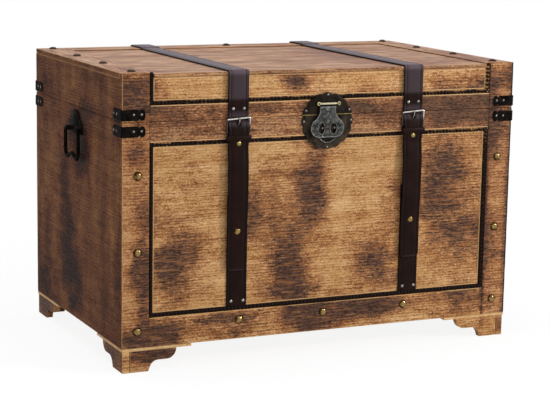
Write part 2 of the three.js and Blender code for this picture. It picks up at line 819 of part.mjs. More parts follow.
// The prong: a bent wire that rises from the pivot bar behind the strap, comes out through the slot
// and lies over the outer bar
function buckleProng(middleX) {
  const barHalf = buckleBar / 2;
  const rootZ = bendLine - bucklePivotDrop + barHalf + runningGap;
  const slotZ = bendLine - (prongSlotTopDrop + prongSlotBottomDrop) / 2;
  const behind = seat + runningGap + prongRadius;
  const barZ = bendLine - buckleTopDrop;
  const over = strapFace + buckleBar + 2 * runningGap + prongRadius + buckleSkew / 2;
  const path = new THREE.CatmullRomCurve3(
    [
      new THREE.Vector3(middleX, -behind, rootZ),
      new THREE.Vector3(middleX, -behind, bendLine - prongSlotBottomDrop),
      new THREE.Vector3(middleX, -(behind + over) / 2, slotZ),
      new THREE.Vector3(middleX, -over, barZ - barHalf),
      new THREE.Vector3(middleX, -over, barZ + prongPastBar),
    ],
    false,
    "centripetal",
  );
  return wireAlong(path, prongRadius, 3 * arcSteps, smallSides);
}

// A round wire along a curve
function wireAlong(path, radius, steps, sidesOfWire) {
  const section = new THREE.Shape();
  for (let i = 0; i < sidesOfWire; i++) {
    const angle = (2 * Math.PI * i) / sidesOfWire;
    const x = radius * Math.cos(angle);
    const y = radius * Math.sin(angle);
    if (i === 0) section.moveTo(x, y);
    else section.lineTo(x, y);
  }
  return new THREE.ExtrudeGeometry(section, { steps, extrudePath: path, bevelEnabled: false });
}

function makeStraps() {
  for (const { name, sign } of sides) {
    const middleX = sign * (halfWidth - strapInset);
    const flapAxis = new THREE.Vector3(middleX, -strapFace, bendLine);
    const flap = turningGroup(lid.group, hingeAxis, flapAxis);
    addPiece(lid, `${name}_lid_strap`, strapLeather, lidStrap(middleX));
    addPiece(body, `${name}_lower_strap`, strapLeather, lowerStrap(middleX));
    addPiece(flap, `${name}_strap_tail`, strapLeather, strapTail(middleX));
    addPiece(flap, `${name}_buckle_frame`, nickel, buckleFrame(middleX));
    addPiece(flap, `${name}_buckle_prong`, nickel, buckleProng(middleX));
  }
}

// The round latch plate with its scalloped rim, cut in two at the parting line
function latchDisc() {
  const centreZ = partingLine - plateDrop;
  const count = scallopCount * scallopSteps;
  const outline = Array.from({ length: count }, (_, i) => {
    const angle = (2 * Math.PI * i) / count;
    const lobe = Math.abs(Math.cos((angle * scallopCount) / 2));
    const radius = plateRadius - scallopDepth * (1 - lobe);
    return new THREE.Vector2(radius * Math.cos(angle), centreZ + radius * Math.sin(angle));
  });
  return frontSlab(new THREE.Shape(outline), -seat - plateThickness, -seat);
}

function plateNail(angleInDegrees) {
  const angle = THREE.MathUtils.degToRad(angleInDegrees);
  const reach = plateRadius - plateNailInset;
  const point = new THREE.Vector3(
    reach * Math.cos(angle), -seat - plateThickness, partingLine - plateDrop + reach * Math.sin(angle),
  );
  return dome(point, toFront, plateNailRadius, plateNailHeight, 0, smallSides, smallSteps);
}

const plateFace = seat + plateThickness;

function makeLatch() {
  const disc = latchDisc();
  const wide = plateRadius + overrun;
  const upperCutter = block(-wide, wide, -overrun, overrun, lidBottom, lidTop);
  const lowerCutter = block(-wide, wide, -overrun, overrun, carcaseBottom, bodyTop);

  const barrelHalf = haspBarrelLength / 2;
  const earFrom = barrelHalf + runningGap;
  const earTo = earFrom + haspEarLength;
  const ears = [-1, 1].flatMap((k) => {
    const x0 = Math.min(k * earFrom, k * earTo);
    const x1 = Math.max(k * earFrom, k * earTo);
    return [
      barX(haspEarRadius, x0, x1, haspAxis.y, haspAxis.z),
      block(x0, x1, haspAxis.y, -plateFace + sink, haspAxis.z - haspEarWeb / 2, haspAxis.z + haspEarWeb / 2),
    ];
  });
  addPiece(
    lid, "latch_upper_plate", blackIron,
    fuse(
      common(disc, upperCutter), ...ears,
      barX(haspPinRadius, -earTo + sink, earTo - sink, haspAxis.y, haspAxis.z, smallSides),
      ...upperPlateNailAngles.map(plateNail),
    ),
  );

  const bossZ = partingLine - bossDrop;
  const bossFace = plateFace + bossHeight;
  const postTip = haspBackStand - runningGap;
  addPiece(
    body, "latch_lower_plate", blackIron,
    fuse(
      common(disc, lowerCutter),
      barY(bossRadius, -bossFace, -plateFace + sink, 0, bossZ, 2 * barrelSides),
      ...[-1, 1].map((k) =>
        barY(postRadius, -postTip, -bossFace + sink, postShift + k * slotSpread, partingLine - slotDrop),
      ),
      ...lowerPlateNailAngles.map(plateNail),
    ),
  );
}

// The hasp: a neck on the pin, two round lobes and two upright oval slots over the posts
function makeHasp() {
  const lobeZ = partingLine - lobeDrop;
  const neck = haspNeck / 2;
  const shoulderZ = haspAxis.z - haspNeckDrop;
  const startAngle = THREE.MathUtils.degToRad(lobeStartAngle);
  const startX = lobeSpread + lobeRadius * Math.cos(startAngle);
  const startZ = lobeZ + lobeRadius * Math.sin(startAngle);
  const shape = new THREE.Shape();
  shape.moveTo(-neck, haspAxis.z);
  shape.lineTo(-neck, shoulderZ + (shoulderZ - startZ));
  shape.quadraticCurveTo(-neck, shoulderZ, -startX, startZ);
  shape.absarc(-lobeSpread, lobeZ, lobeRadius, Math.PI - startAngle, (3 * Math.PI) / 2, false);
  shape.lineTo(lobeSpread, lobeZ - lobeRadius);
  shape.absarc(lobeSpread, lobeZ, lobeRadius, -Math.PI / 2, startAngle, false);
  shape.quadraticCurveTo(neck, shoulderZ, neck, shoulderZ + (shoulderZ - startZ));
  shape.lineTo(neck, haspAxis.z);
  for (const k of [-1, 1]) {
    const slot = new THREE.Path();
    const slotZ = partingLine - slotDrop;
    slot.absellipse(k * slotSpread, slotZ, slotHalfWidth, slotHalfHeight, 0, 2 * Math.PI, false, 0);
    shape.holes.push(slot);
  }
  const barrelHalf = haspBarrelLength / 2;
  const leaf = fuse(
    frontSlab(shape, -haspBackStand - haspThickness, -haspBackStand),
    barX(haspBarrelRadius, -barrelHalf, barrelHalf, haspAxis.y, haspAxis.z),
  );
  const bore = barX(haspPinRadius + runningGap, -halfWidth, halfWidth, haspAxis.y, haspAxis.z);
  addPiece(haspPart, "hasp", engravedSteel, cut(leaf, bore));
}

// Butt hinges: the body's leaf holds the pin and every other knuckle from the ends, the lid's leaf the rest
function makeHinges() {
  const knuckle = hingeLength / hingeKnuckles;
  const near = chestDepth + seat;
  const far = near + hingeThickness;
  const clear = hingeBarrelRadius + 2 * runningGap;
  const { y, z } = hingeAxis;
  for (const { name, sign } of sides) {
    const x0 = sign * (halfWidth - hingeInset) - hingeLength / 2;
    const screws = (rise) =>
      [0, 1, 2].map((i) => {
        const x = x0 + ((2 * i + 1) * hingeLength) / 6;
        const point = new THREE.Vector3(x, far, z + rise);
        return dome(point, toBack, screwRadius, screwHeight, 0, smallSides, smallSteps);
      });
    const knuckles = (first, up) =>
      Array.from({ length: Math.ceil((hingeKnuckles - first) / 2) }, (_, i) => {
        const from = x0 + (2 * i + first) * knuckle + runningGap / 2;
        const to = from + knuckle - runningGap;
        const webEnd = z + up * clear;
        return [
          barX(hingeBarrelRadius, from, to, y, z),
          block(from, to, near, far, Math.min(z, webEnd), Math.max(z, webEnd)),
        ];
      }).flat();
    const screwRise = (hingeLeaf + clear) / 2;
    addPiece(
      lid, `${name}_lid_hinge_leaf`, hingeSteel,
      fuse(
        cut(
          fuse(block(x0, x0 + hingeLength, near, far, z + clear, z + hingeLeaf), ...knuckles(1, 1)),
          barX(hingePinRadius + runningGap, x0, x0 + hingeLength, y, z),
        ),
        ...screws(screwRise),
      ),
    );
    addPiece(
      body, `${name}_body_hinge_leaf`, hingeSteel,
      fuse(
        block(x0, x0 + hingeLength, near, far, z - hingeLeaf, z - clear),
        ...knuckles(0, -1),
        barX(hingePinRadius, x0 + sink, x0 + hingeLength - sink, y, z, smallSides),
        ...screws(-screwRise),
      ),
    );
  }
}

// Drop handles: a shaped plate with a low dome and two lugs, and a bail that hangs in the lugs
function makeHandles() {
  const middleY = chestDepth / 2;
  const pivotZ = partingLine - bailPivotDrop;
  const half = handlePlateWidth / 2;
  const top = pivotZ + handlePlateTop;
  const bottom = pivotZ - handlePlateBottom;
  const armY = bailWidth / 2;
  const lugOuter = armY - bailWire - lugGap;
  const lugInner = lugOuter - lugLength;
  for (const { name, sign } of sides) {
    const sideX = (distance) => sign * (halfWidth + distance);
    const span = (a, b) => [Math.min(sideX(a), sideX(b)), Math.max(sideX(a), sideX(b))];
    const shape = new THREE.Shape();
    shape.moveTo(middleY - half, bottom);
    shape.lineTo(middleY + half, bottom);
    shape.lineTo(middleY + half, top - handleShoulder - handleShoulder / 2);
    shape.quadraticCurveTo(
      middleY + half / 2, top - handleShoulder,
      middleY + half / 2, top - handleShoulder / 2,
    );
    shape.quadraticCurveTo(middleY + half / 3, top, middleY, top);
    shape.quadraticCurveTo(middleY - half / 3, top, middleY - half / 2, top - handleShoulder / 2);
    shape.quadraticCurveTo(
      middleY - half / 2, top - handleShoulder,
      middleY - half, top - handleShoulder - handleShoulder / 2,
    );
    const plate = sideSlab(shape, ...span(seat, seat + handlePlateThickness), strapArcSteps);
    const plateOut = seat + handlePlateThickness;
    const swell = dome(
      new THREE.Vector3(sideX(plateOut), middleY, pivotZ + handleDomeRise), new THREE.Vector3(sign, 0, 0),
      handleDomeWidth / 2, handleDomeHeight, 0, barrelSides, nailSteps,
    );
    const flatten = new THREE.Matrix4().makeScale(1, 1, handleDomeTall / handleDomeWidth);
    swell.translate(0, 0, -pivotZ - handleDomeRise);
    swell.applyMatrix4(flatten);
    swell.translate(0, 0, pivotZ + handleDomeRise);
    const axisX = sideX(bailPivotStand);
    const lugs = [-1, 1].flatMap((k) => {
      const y0 = Math.min(middleY + k * lugInner, middleY + k * lugOuter);
      const [webFrom, webTo] = span(plateOut - sink, bailPivotStand);
      return [
        barY(lugRadius, y0, y0 + lugLength, axisX, pivotZ),
        block(webFrom, webTo, y0, y0 + lugLength, pivotZ - lugRadius, pivotZ + lugRadius),
      ];
    });
    const bores = barY(bailPinRadius + bailBore, middleY - half, middleY + half, axisX, pivotZ);
    addPiece(body, `${name}_handle_plate`, blackIron, cut(fuse(plate, swell, ...lugs), bores));

    const bail = turningGroup(body.group, still, new THREE.Vector3(axisX, middleY, pivotZ));
    const at = (k, across, down) => new THREE.Vector3(axisX, middleY + k * across, pivotZ - down);
    const gripY = armY - bailTaper;
    const curve = new THREE.CatmullRomCurve3([
      at(-1, armY, 0),
      at(-1, armY, bailDrop / 3),
      at(-1, armY, (2 * bailDrop) / 3),
      at(-1, gripY, bailDrop - bailWire),
      at(-1, (2 * gripY) / 3, bailDrop),
      at(-1, gripY / 3, bailDrop - bailPeak / 3),
      at(0, 0, bailDrop - bailPeak),
      at(1, gripY / 3, bailDrop - bailPeak / 3),
      at(1, (2 * gripY) / 3, bailDrop),
      at(1, gripY, bailDrop - bailWire),
      at(1, armY, (2 * bailDrop) / 3),
      at(1, armY, bailDrop / 3),
      at(1, armY, 0),
    ]);
    const pins = [-1, 1].map((k) => {
      const pinFrom = middleY + k * lugInner;
      const pinTo = middleY + k * armY;
      return barY(bailPinRadius, Math.min(pinFrom, pinTo), Math.max(pinFrom, pinTo), axisX, pivotZ, smallSides);
    });
    const eyes = [-1, 1].map((k) => {
      const eyeFrom = middleY + k * (armY - bailWire);
      const eyeTo = middleY + k * (armY + bailWire);
      return barY(lugRadius, Math.min(eyeFrom, eyeTo), Math.max(eyeFrom, eyeTo), axisX, pivotZ);
    });
    const wire = wireAlong(curve, bailWire, 6 * arcSteps, wireSides);
    addPiece(bail, `${name}_handle_bail`, blackIron, fuse(wire, ...pins, ...eyes));
  }
}

makeBodyBoards();
makeBodyFrame();
makeRopes();
makeFeet();
makeLidBoards();
makeCornerStraps();
makeStraps();
makeLatch();
makeHasp();
makeHinges();
makeHandles();

// Centre the chest over the floor point under the middle of its box:
// the latch's ears reach furthest forward, and the hinges' barrels furthest back
const frontReach = haspPinStand + haspEarRadius;
const backReach = hingeStand + hingeBarrelRadius;
chest.position.y = -(chestDepth + backReach - frontReach) / 2;

const model = new THREE.Group();
model.add(chest);
export default model;
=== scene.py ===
# %% [markdown]
# # A sea chest
#
# The chest is a box of boards with a hinged lid. Its front is a frame of stiles and rails round a
# panel that lies a little deeper, and a dark beaded moulding runs along the panel's edges. Leather
# straps, a hasp, black corner straps and brass dome nails are fixed on it.
#
# The solids come from the CAD model, in metres, with +Z up and the front at -Y. They carry the sizes
# and the joints. This script dresses them: it builds each piece again with rounded edges, grain and
# small hardware in the same place, and lets it ride on the same moving body.

# %% Load the frame
import json
import math

import bmesh
import bpy
import numpy as np
from mathutils import Matrix, Vector, noise

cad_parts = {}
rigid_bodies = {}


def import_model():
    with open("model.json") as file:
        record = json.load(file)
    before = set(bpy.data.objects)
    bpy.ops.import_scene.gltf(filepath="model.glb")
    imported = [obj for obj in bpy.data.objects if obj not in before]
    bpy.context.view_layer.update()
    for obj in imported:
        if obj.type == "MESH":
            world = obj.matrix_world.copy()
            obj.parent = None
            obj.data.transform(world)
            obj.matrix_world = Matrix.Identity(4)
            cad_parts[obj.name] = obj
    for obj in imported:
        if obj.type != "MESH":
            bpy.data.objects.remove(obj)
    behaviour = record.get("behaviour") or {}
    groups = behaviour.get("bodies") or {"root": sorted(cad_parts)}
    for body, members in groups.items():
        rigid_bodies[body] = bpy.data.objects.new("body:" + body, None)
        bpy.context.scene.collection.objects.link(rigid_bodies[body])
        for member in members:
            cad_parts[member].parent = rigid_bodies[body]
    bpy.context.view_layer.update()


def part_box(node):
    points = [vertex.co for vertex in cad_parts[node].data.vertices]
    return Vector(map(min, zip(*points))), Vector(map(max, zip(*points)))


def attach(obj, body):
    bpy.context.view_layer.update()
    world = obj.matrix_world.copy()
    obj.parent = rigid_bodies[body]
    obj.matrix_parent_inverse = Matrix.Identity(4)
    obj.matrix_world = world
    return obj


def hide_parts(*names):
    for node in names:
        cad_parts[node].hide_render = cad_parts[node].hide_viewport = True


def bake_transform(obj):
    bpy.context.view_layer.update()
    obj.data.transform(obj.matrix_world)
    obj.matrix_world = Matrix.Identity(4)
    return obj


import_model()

scene = bpy.context.scene

# %% [markdown]
# ## Places on the chest
#
# A chest is easiest to think of in millimetres from its own faces: x from the middle, y back from
# the face of the front frame, z up from the floor. The frame's node boxes say where those faces are,
# so that nothing here drifts away from the CAD model.

# %% Places in millimetres
MM = 0.001


def node_box(name):
    """The low and high corner of a node's box in millimetres of the scene."""
    low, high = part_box(name)
    return [c / MM for c in low], [c / MM for c in high]


front_y = node_box("body_upper_rail")[0][1]
half_width = node_box("lid_back_board")[1][0]
depth = node_box("lid_back_board")[1][1] - front_y
body_top = node_box("body_left_board")[1][2]
lid_low = node_box("lid_front_rail")[0][2]
lid_top = node_box("lid_left_stile")[1][2]
panel_top = node_box("lid_top_panel")[1][2]
parting = (body_top + lid_low) / 2
SIDES = (("left", -1), ("right", 1))
TO_FRONT, TO_BACK, TO_TOP = (0, -1, 0), (0, 1, 0), (0, 0, 1)


def at(x, y, z):
    """A point of the chest, in millimetres, as a point of the scene."""
    return Vector((x, y + front_y, z)) * MM


print(f"Box {2 * half_width:.0f} x {depth:.0f} mm, parting line at {parting:.1f}, top at {lid_top:.1f}")

# %% [markdown]
# ## Making meshes
#
# Nearly every piece is a skin over a row of rings: a strap is one rectangle pushed along a path, a
# wire is a circle pushed along a curve, and a nail's head is a circle that shrinks as it rises. One
# function joins the rings, and another turns the result into a piece that rides on a body.

# %% Meshes and pieces
def finish_mesh(mesh, smooth_angle=40):
    """Merges doubles, turns the faces outwards and shades them smooth up to an angle."""
    work = bmesh.new()
    work.from_mesh(mesh)
    bmesh.ops.remove_doubles(work, verts=work.verts, dist=2e-6)
    bmesh.ops.recalc_face_normals(work, faces=work.faces)
    work.to_mesh(mesh)
    work.free()
    mesh.shade_smooth()
    mesh.set_sharp_from_angle(angle=math.radians(smooth_angle))


def mesh_of(name, points, faces, smooth_angle=40):
    mesh = bpy.data.meshes.new(name)
    mesh.from_pydata([tuple(p) for p in points], [], faces)
    finish_mesh(mesh, smooth_angle)
    return mesh


def give_values(mesh, **layers):
    """Gives the points of a mesh named values, which the finishes read."""
    for name, values in layers.items():
        layer = mesh.attributes.new(name, "FLOAT", "POINT")
        layer.data.foreach_set("value", np.array(values, np.float32))


def add_piece(name, made, finish, body, slot, *nodes, smooth=40):
    """Adds a mesh, or a skin's points and faces, as a piece that rides on a body."""
    mesh = mesh_of(name, *made, smooth) if isinstance(made, tuple) else made
    piece = bpy.data.objects.new(name, mesh)
    scene.collection.objects.link(piece)
    if not mesh.materials:
        mesh.materials.append(finish)
    if body:
        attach(piece, body)
    if nodes:
        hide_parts(*nodes)
    return piece


def take_mesh(holder):
    """An object's mesh as its modifiers leave it. The object itself goes."""
    made = bpy.data.meshes.new_from_object(holder.evaluated_get(bpy.context.evaluated_depsgraph_get()))
    bpy.data.objects.remove(holder)
    return made


# %% Rings and skins
def skin(rings, closed=False, cap=True):
    """Points and faces of a skin over rings of equal length."""
    count, last = len(rings[0]), len(rings) if closed else len(rings) - 1
    points = [p for ring in rings for p in ring]
    faces = []
    for i in range(last):
        a, b = i * count, ((i + 1) % len(rings)) * count
        faces += [(a + j, a + (j + 1) % count, b + (j + 1) % count, b + j) for j in range(count)]
    if cap and not closed:
        faces += [tuple(range(count - 1, -1, -1)), tuple(range(last * count, (last + 1) * count))]
    return points, faces


def join(parts):
    """Several skins as one."""
    points, faces = [], []
    for more_points, more_faces in parts:
        shift = len(points)
        points += list(more_points)
        faces += [tuple(i + shift for i in face) for face in more_faces]
    return points, faces


def circle(sides, radius=1.0):
    """Points on a circle as (across, up)."""
    turns = [2 * math.pi * k / sides for k in range(sides)]
    return [(radius * math.cos(t), radius * math.sin(t)) for t in turns]


def tube(path, radius, sides=12, closed=False):
    """Rings of a round wire along 3-D points. The radius may be one number or one for each point."""
    points = [Vector(p) for p in path]
    radii = radius if isinstance(radius, list) else [radius] * len(points)
    rings, normal = [], None
    for i, point in enumerate(points):
        before = points[i - 1] if i > 0 or closed else point
        after = points[(i + 1) % len(points)] if i + 1 < len(points) or closed else point
        along = (after - before).normalized()
        if normal is None:
            normal = along.orthogonal().normalized()
        normal = (normal - along * normal.dot(along)).normalized()
        other = along.cross(normal)
        rings.append([point + (normal * c + other * s) * radii[i] for c, s in circle(sides)])
    return rings


def spin(profile, sides=24):
    """Rings of a turned shape round Z from (radius, height) pairs in millimetres."""
    return [[Vector((r * c, r * s, h)) * MM for c, s in circle(sides)] for r, h in profile]


def arc(start, corner, end, steps):
    """Points of a curve from start to end that bends towards a corner."""
    return [tuple((1 - t) ** 2 * a + 2 * t * (1 - t) * b + t ** 2 * c for a, b, c in zip(start, corner, end))
            for t in (i / steps for i in range(steps + 1))]


def smooth_path(points, steps):
    """A curve through the points (a Catmull-Rom spline)."""
    points = [Vector(p) for p in points]
    result = []
    for i in range(len(points) - 1):
        p1, p2 = points[i], points[i + 1]
        p0, p3 = points[max(0, i - 1)], points[min(i + 2, len(points) - 1)]
        for t in (k / steps for k in range(steps)):
            result.append(0.5 * (2 * p1 + (p2 - p0) * t + (2 * p0 - 5 * p1 + 4 * p2 - p3) * t ** 2
                                 + (3 * p1 - p0 - 3 * p2 + p3) * t ** 3))
    return result + [points[-1]]


# %% Plates cut to an outline
def facing(direction, origin):
    """The matrix that stands a shape made round Z on a point, turned to face a direction."""
    return Matrix.Translation(origin) @ Vector(direction).to_track_quat("Z", "Y").to_matrix().to_4x4()


def plane(origin, across, up=TO_TOP):
    """A matrix whose X runs across, Y up and Z out of a face."""
    across, up = Vector(across), Vector(up)
    turn = Matrix((across, up, across.cross(up))).transposed().to_4x4()
    return Matrix.Translation(origin) @ turn


def slab(loops, thickness, bevel, place):
    """A plate cut to an outline with bevelled edges. The first loop is its edge and the rest are holes.

    The outline is in millimetres, and the plate's back lies on the plane of place."""
    curve = bpy.data.curves.new("outline", "CURVE")
    curve.dimensions, curve.fill_mode = "2D", "BOTH"
    curve.bevel_depth, curve.bevel_resolution = bevel * MM, 1
    curve.extrude = (thickness / 2 - bevel) * MM
    curve.offset = -bevel * MM
    for loop in loops:
        spline = curve.splines.new("POLY")
        spline.points.add(len(loop) - 1)
        spline.use_cyclic_u = True
        for point, (u, v) in zip(spline.points, loop):
            point.co = (u * MM, v * MM, 0, 1)
    holder = bpy.data.objects.new("outline", curve)
    scene.collection.objects.link(holder)
    mesh = take_mesh(holder)
    bpy.data.curves.remove(curve)
    mesh.materials.clear()
    mesh.transform(place @ Matrix.Translation((0, 0, thickness / 2 * MM)))
    finish_mesh(mesh, 32)
    return mesh


print("Ready to make skins, tubes, turned shapes and plates")

# %% [markdown]
# ## Camera, floor and light
#
# The camera was fitted to the corners of the box, so the render can be laid over the photograph. It
# stands almost three metres away, to the left of the chest and a little above it, with a long lens.
#
# The light is a white studio: a pale floor, a bright even surround and soft lamps, the strongest from
# the front right. The background is white to the camera alone, so that it doesn't wash out the colours.

# %% Camera
def place_camera():
    yaw, pitch, roll = (math.radians(a) for a in (-25.065, -10.272, 1.018))
    focal_px, frame_px, sensor_mm = 1734.13, 550, 36
    turn = Matrix.Rotation(yaw, 3, "Z")
    forward = turn @ Vector((0, math.cos(pitch), math.sin(pitch)))
    right = turn @ Vector((1, 0, 0))
    up = right.cross(forward)
    tilted_right = right * math.cos(roll) + up * math.sin(roll)
    tilted_up = up * math.cos(roll) - right * math.sin(roll)
    data = bpy.data.cameras.new("photo_camera")
    data.sensor_width, data.lens = sensor_mm, focal_px / frame_px * sensor_mm
    data.clip_start, data.clip_end = 0.05, 60
    camera = bpy.data.objects.new("photo_camera", data)
    scene.collection.objects.link(camera)
    rotation = Matrix((tilted_right, tilted_up, -forward)).transposed().to_4x4()
    camera.matrix_world = Matrix.Translation(at(-1356, -2929 + depth / 2, 812.6)) @ rotation
    scene.camera = camera
    return camera


camera = place_camera()
print("Camera at", [round(c, 3) for c in camera.location], "with a lens of", round(camera.data.lens, 1), "mm")

# %% Nodes and colours
def add_node(tree, kind, inputs=(), output=0, **settings):
    """Adds a node with its settings, sets or links each input, and gives back one of its outputs.

    The inputs are a dictionary by name or number, or a row from the first on."""
    made = tree.nodes.new(kind if "Node" in kind else "ShaderNode" + kind)
    for key, value in settings.items():
        setattr(made, key, value)
    for key, value in inputs.items() if isinstance(inputs, dict) else enumerate(inputs):
        if isinstance(value, bpy.types.NodeSocket):
            tree.links.new(value, made.inputs[key])
        else:
            made.inputs[key].default_value = value
    return made.outputs[output] if len(made.outputs) else made


def linear(hex_colour):
    """An sRGB hex colour as linear light."""
    parts = [int(hex_colour[i:i + 2], 16) / 255 for i in (1, 3, 5)]
    return tuple(p / 12.92 if p <= 0.04045 else ((p + 0.055) / 1.055) ** 2.4 for p in parts) + (1.0,)


def new_finish(name):
    """A material without nodes yet, and its tree."""
    material = bpy.data.materials.new(name)
    material.use_nodes = True
    material.node_tree.nodes.clear()
    return material, material.node_tree


# %% Stage
WHITE = (1, 1, 1, 1)


def sees_white(tree):
    """1 for rays that should see a white studio: from the camera and by mirror or glass."""
    rays = [add_node(tree, "LightPath", (), f"Is {kind} Ray") for kind in ("Camera", "Glossy", "Transmission")]
    first = add_node(tree, "Math", rays[:2], operation="MAXIMUM")
    return add_node(tree, "Math", (first, rays[2]), operation="MAXIMUM")


def make_world():
    world = bpy.data.worlds.new("white_studio")
    world.use_nodes = True
    tree = world.node_tree
    tree.nodes.clear()
    lit = add_node(tree, "Background", {"Color": linear("#f4f6fa"), "Strength": 0.57})
    seen = add_node(tree, "Background", {"Color": WHITE, "Strength": 1.0})
    add_node(tree, "OutputWorld", (add_node(tree, "MixShader", (sees_white(tree), lit, seen)),))
    scene.world = world


def make_floor():
    """Studio paper that keeps the chest's shadow near it and fades to white further away."""
    wide, fade_from, fade_to = 9, 0.55, 1.25
    mesh = mesh_of("studio_floor", [(-wide, -wide, 0), (wide, -wide, 0), (wide, wide, 0), (-wide, wide, 0)],
                   [(0, 1, 2, 3)])
    material, tree = new_finish("white_studio_paper")
    paper = add_node(tree, "BsdfDiffuse", {"Color": (0.9, 0.9, 0.9, 1)})
    pale = add_node(tree, "BsdfDiffuse", {"Color": (0.13, 0.13, 0.13, 1)})
    glow = add_node(tree, "Emission", {"Color": WHITE, "Strength": 0.89})
    near = add_node(tree, "AddShader", (pale, glow))
    far = add_node(tree, "Emission", {"Color": WHITE, "Strength": 1.0})
    away = add_node(tree, "VectorMath", (add_node(tree, "TexCoord", (), "Object"),), "Value", operation="LENGTH")
    fade = add_node(tree, "MapRange", (away, fade_from, fade_to), interpolation_type="SMOOTHSTEP")
    seen = add_node(tree, "MixShader", (fade, near, far))
    add_node(tree, "OutputMaterial", (add_node(tree, "MixShader", (sees_white(tree), paper, seen)),))
    mesh.materials.append(material)
    floor = bpy.data.objects.new("studio_floor", mesh)
    scene.collection.objects.link(floor)


def add_lamp(name, place, aim, size, power):
    data = bpy.data.lights.new(name, "AREA")
    data.shape, data.size, data.energy = "DISK", size, power
    lamp = bpy.data.objects.new(name, data)
    scene.collection.objects.link(lamp)
    lamp.location = place
    lamp.rotation_euler = (Vector(aim) - Vector(place)).to_track_quat("-Z", "Y").to_euler()


scene.view_settings.view_transform = "Standard"
make_world()
make_floor()
add_lamp("front_softbox", (0.4, -3.4, 2.2), (0, 0, 0.25), 1.8, 10)
add_lamp("right_softbox", (2.7, -2.5, 1.6), (0, 0, 0.25), 0.6, 72)
add_lamp("top_softbox", (-0.4, 0.2, 3.0), (0, 0, 0.5), 1.6, 26)

# %% [markdown]
# ## Wood
#
# The boards are softwood, sawn, sanded and then smoked and stained, with a thin coat of varnish. The
# eye gets three things: fine grain along the board, large soft clouds of dark stain, and pale edges
# where handling has worn the stain away. The grain is noise that is drawn out along the board. The
# clouds and the worn edges follow the pieces' own attributes, called smoke and edge.
#
# Real pores and fibres are a few tenths of a millimetre apart, which is finer than a pixel of the
# render. They are drawn 2 to 5 mm apart, so that they show.

# %% Sums and ends of finishes
SOFT = {"interpolation_type": "SMOOTHSTEP"}


def weigh(tree, total, *terms):
    """Adds values to a total, each with its own weight."""
    for value, weight in terms:
        total = add_node(tree, "Math", (value, weight, total), operation="MULTIPLY_ADD")
    return total


def tones_of(tree, value, stops):
    """A colour ramp with the given (place, hex colour) stops."""
    colour = add_node(tree, "ValToRGB", (value,))
    elements = colour.node.color_ramp.elements
    while len(elements) < len(stops):
        elements.new(0.5)
    for element, (place, tone) in zip(elements, stops):
        element.position, element.color = place, linear(tone)
    return colour


def end_finish(tree, colour, roughness, height, strength, deep_mm, **more):
    """Ends a finish in its shader. Its relief is a bump of at most deep_mm."""
    bump = add_node(tree, "Bump", {"Strength": strength, "Distance": deep_mm * MM, "Height": height})
    sockets = {name.replace("_", " "): value for name, value in more.items()}
    shader = add_node(tree, "BsdfPrincipled", {
        "Base Color": colour, "Roughness": roughness, "Normal": bump, **sockets})
    add_node(tree, "OutputMaterial", (shader,))


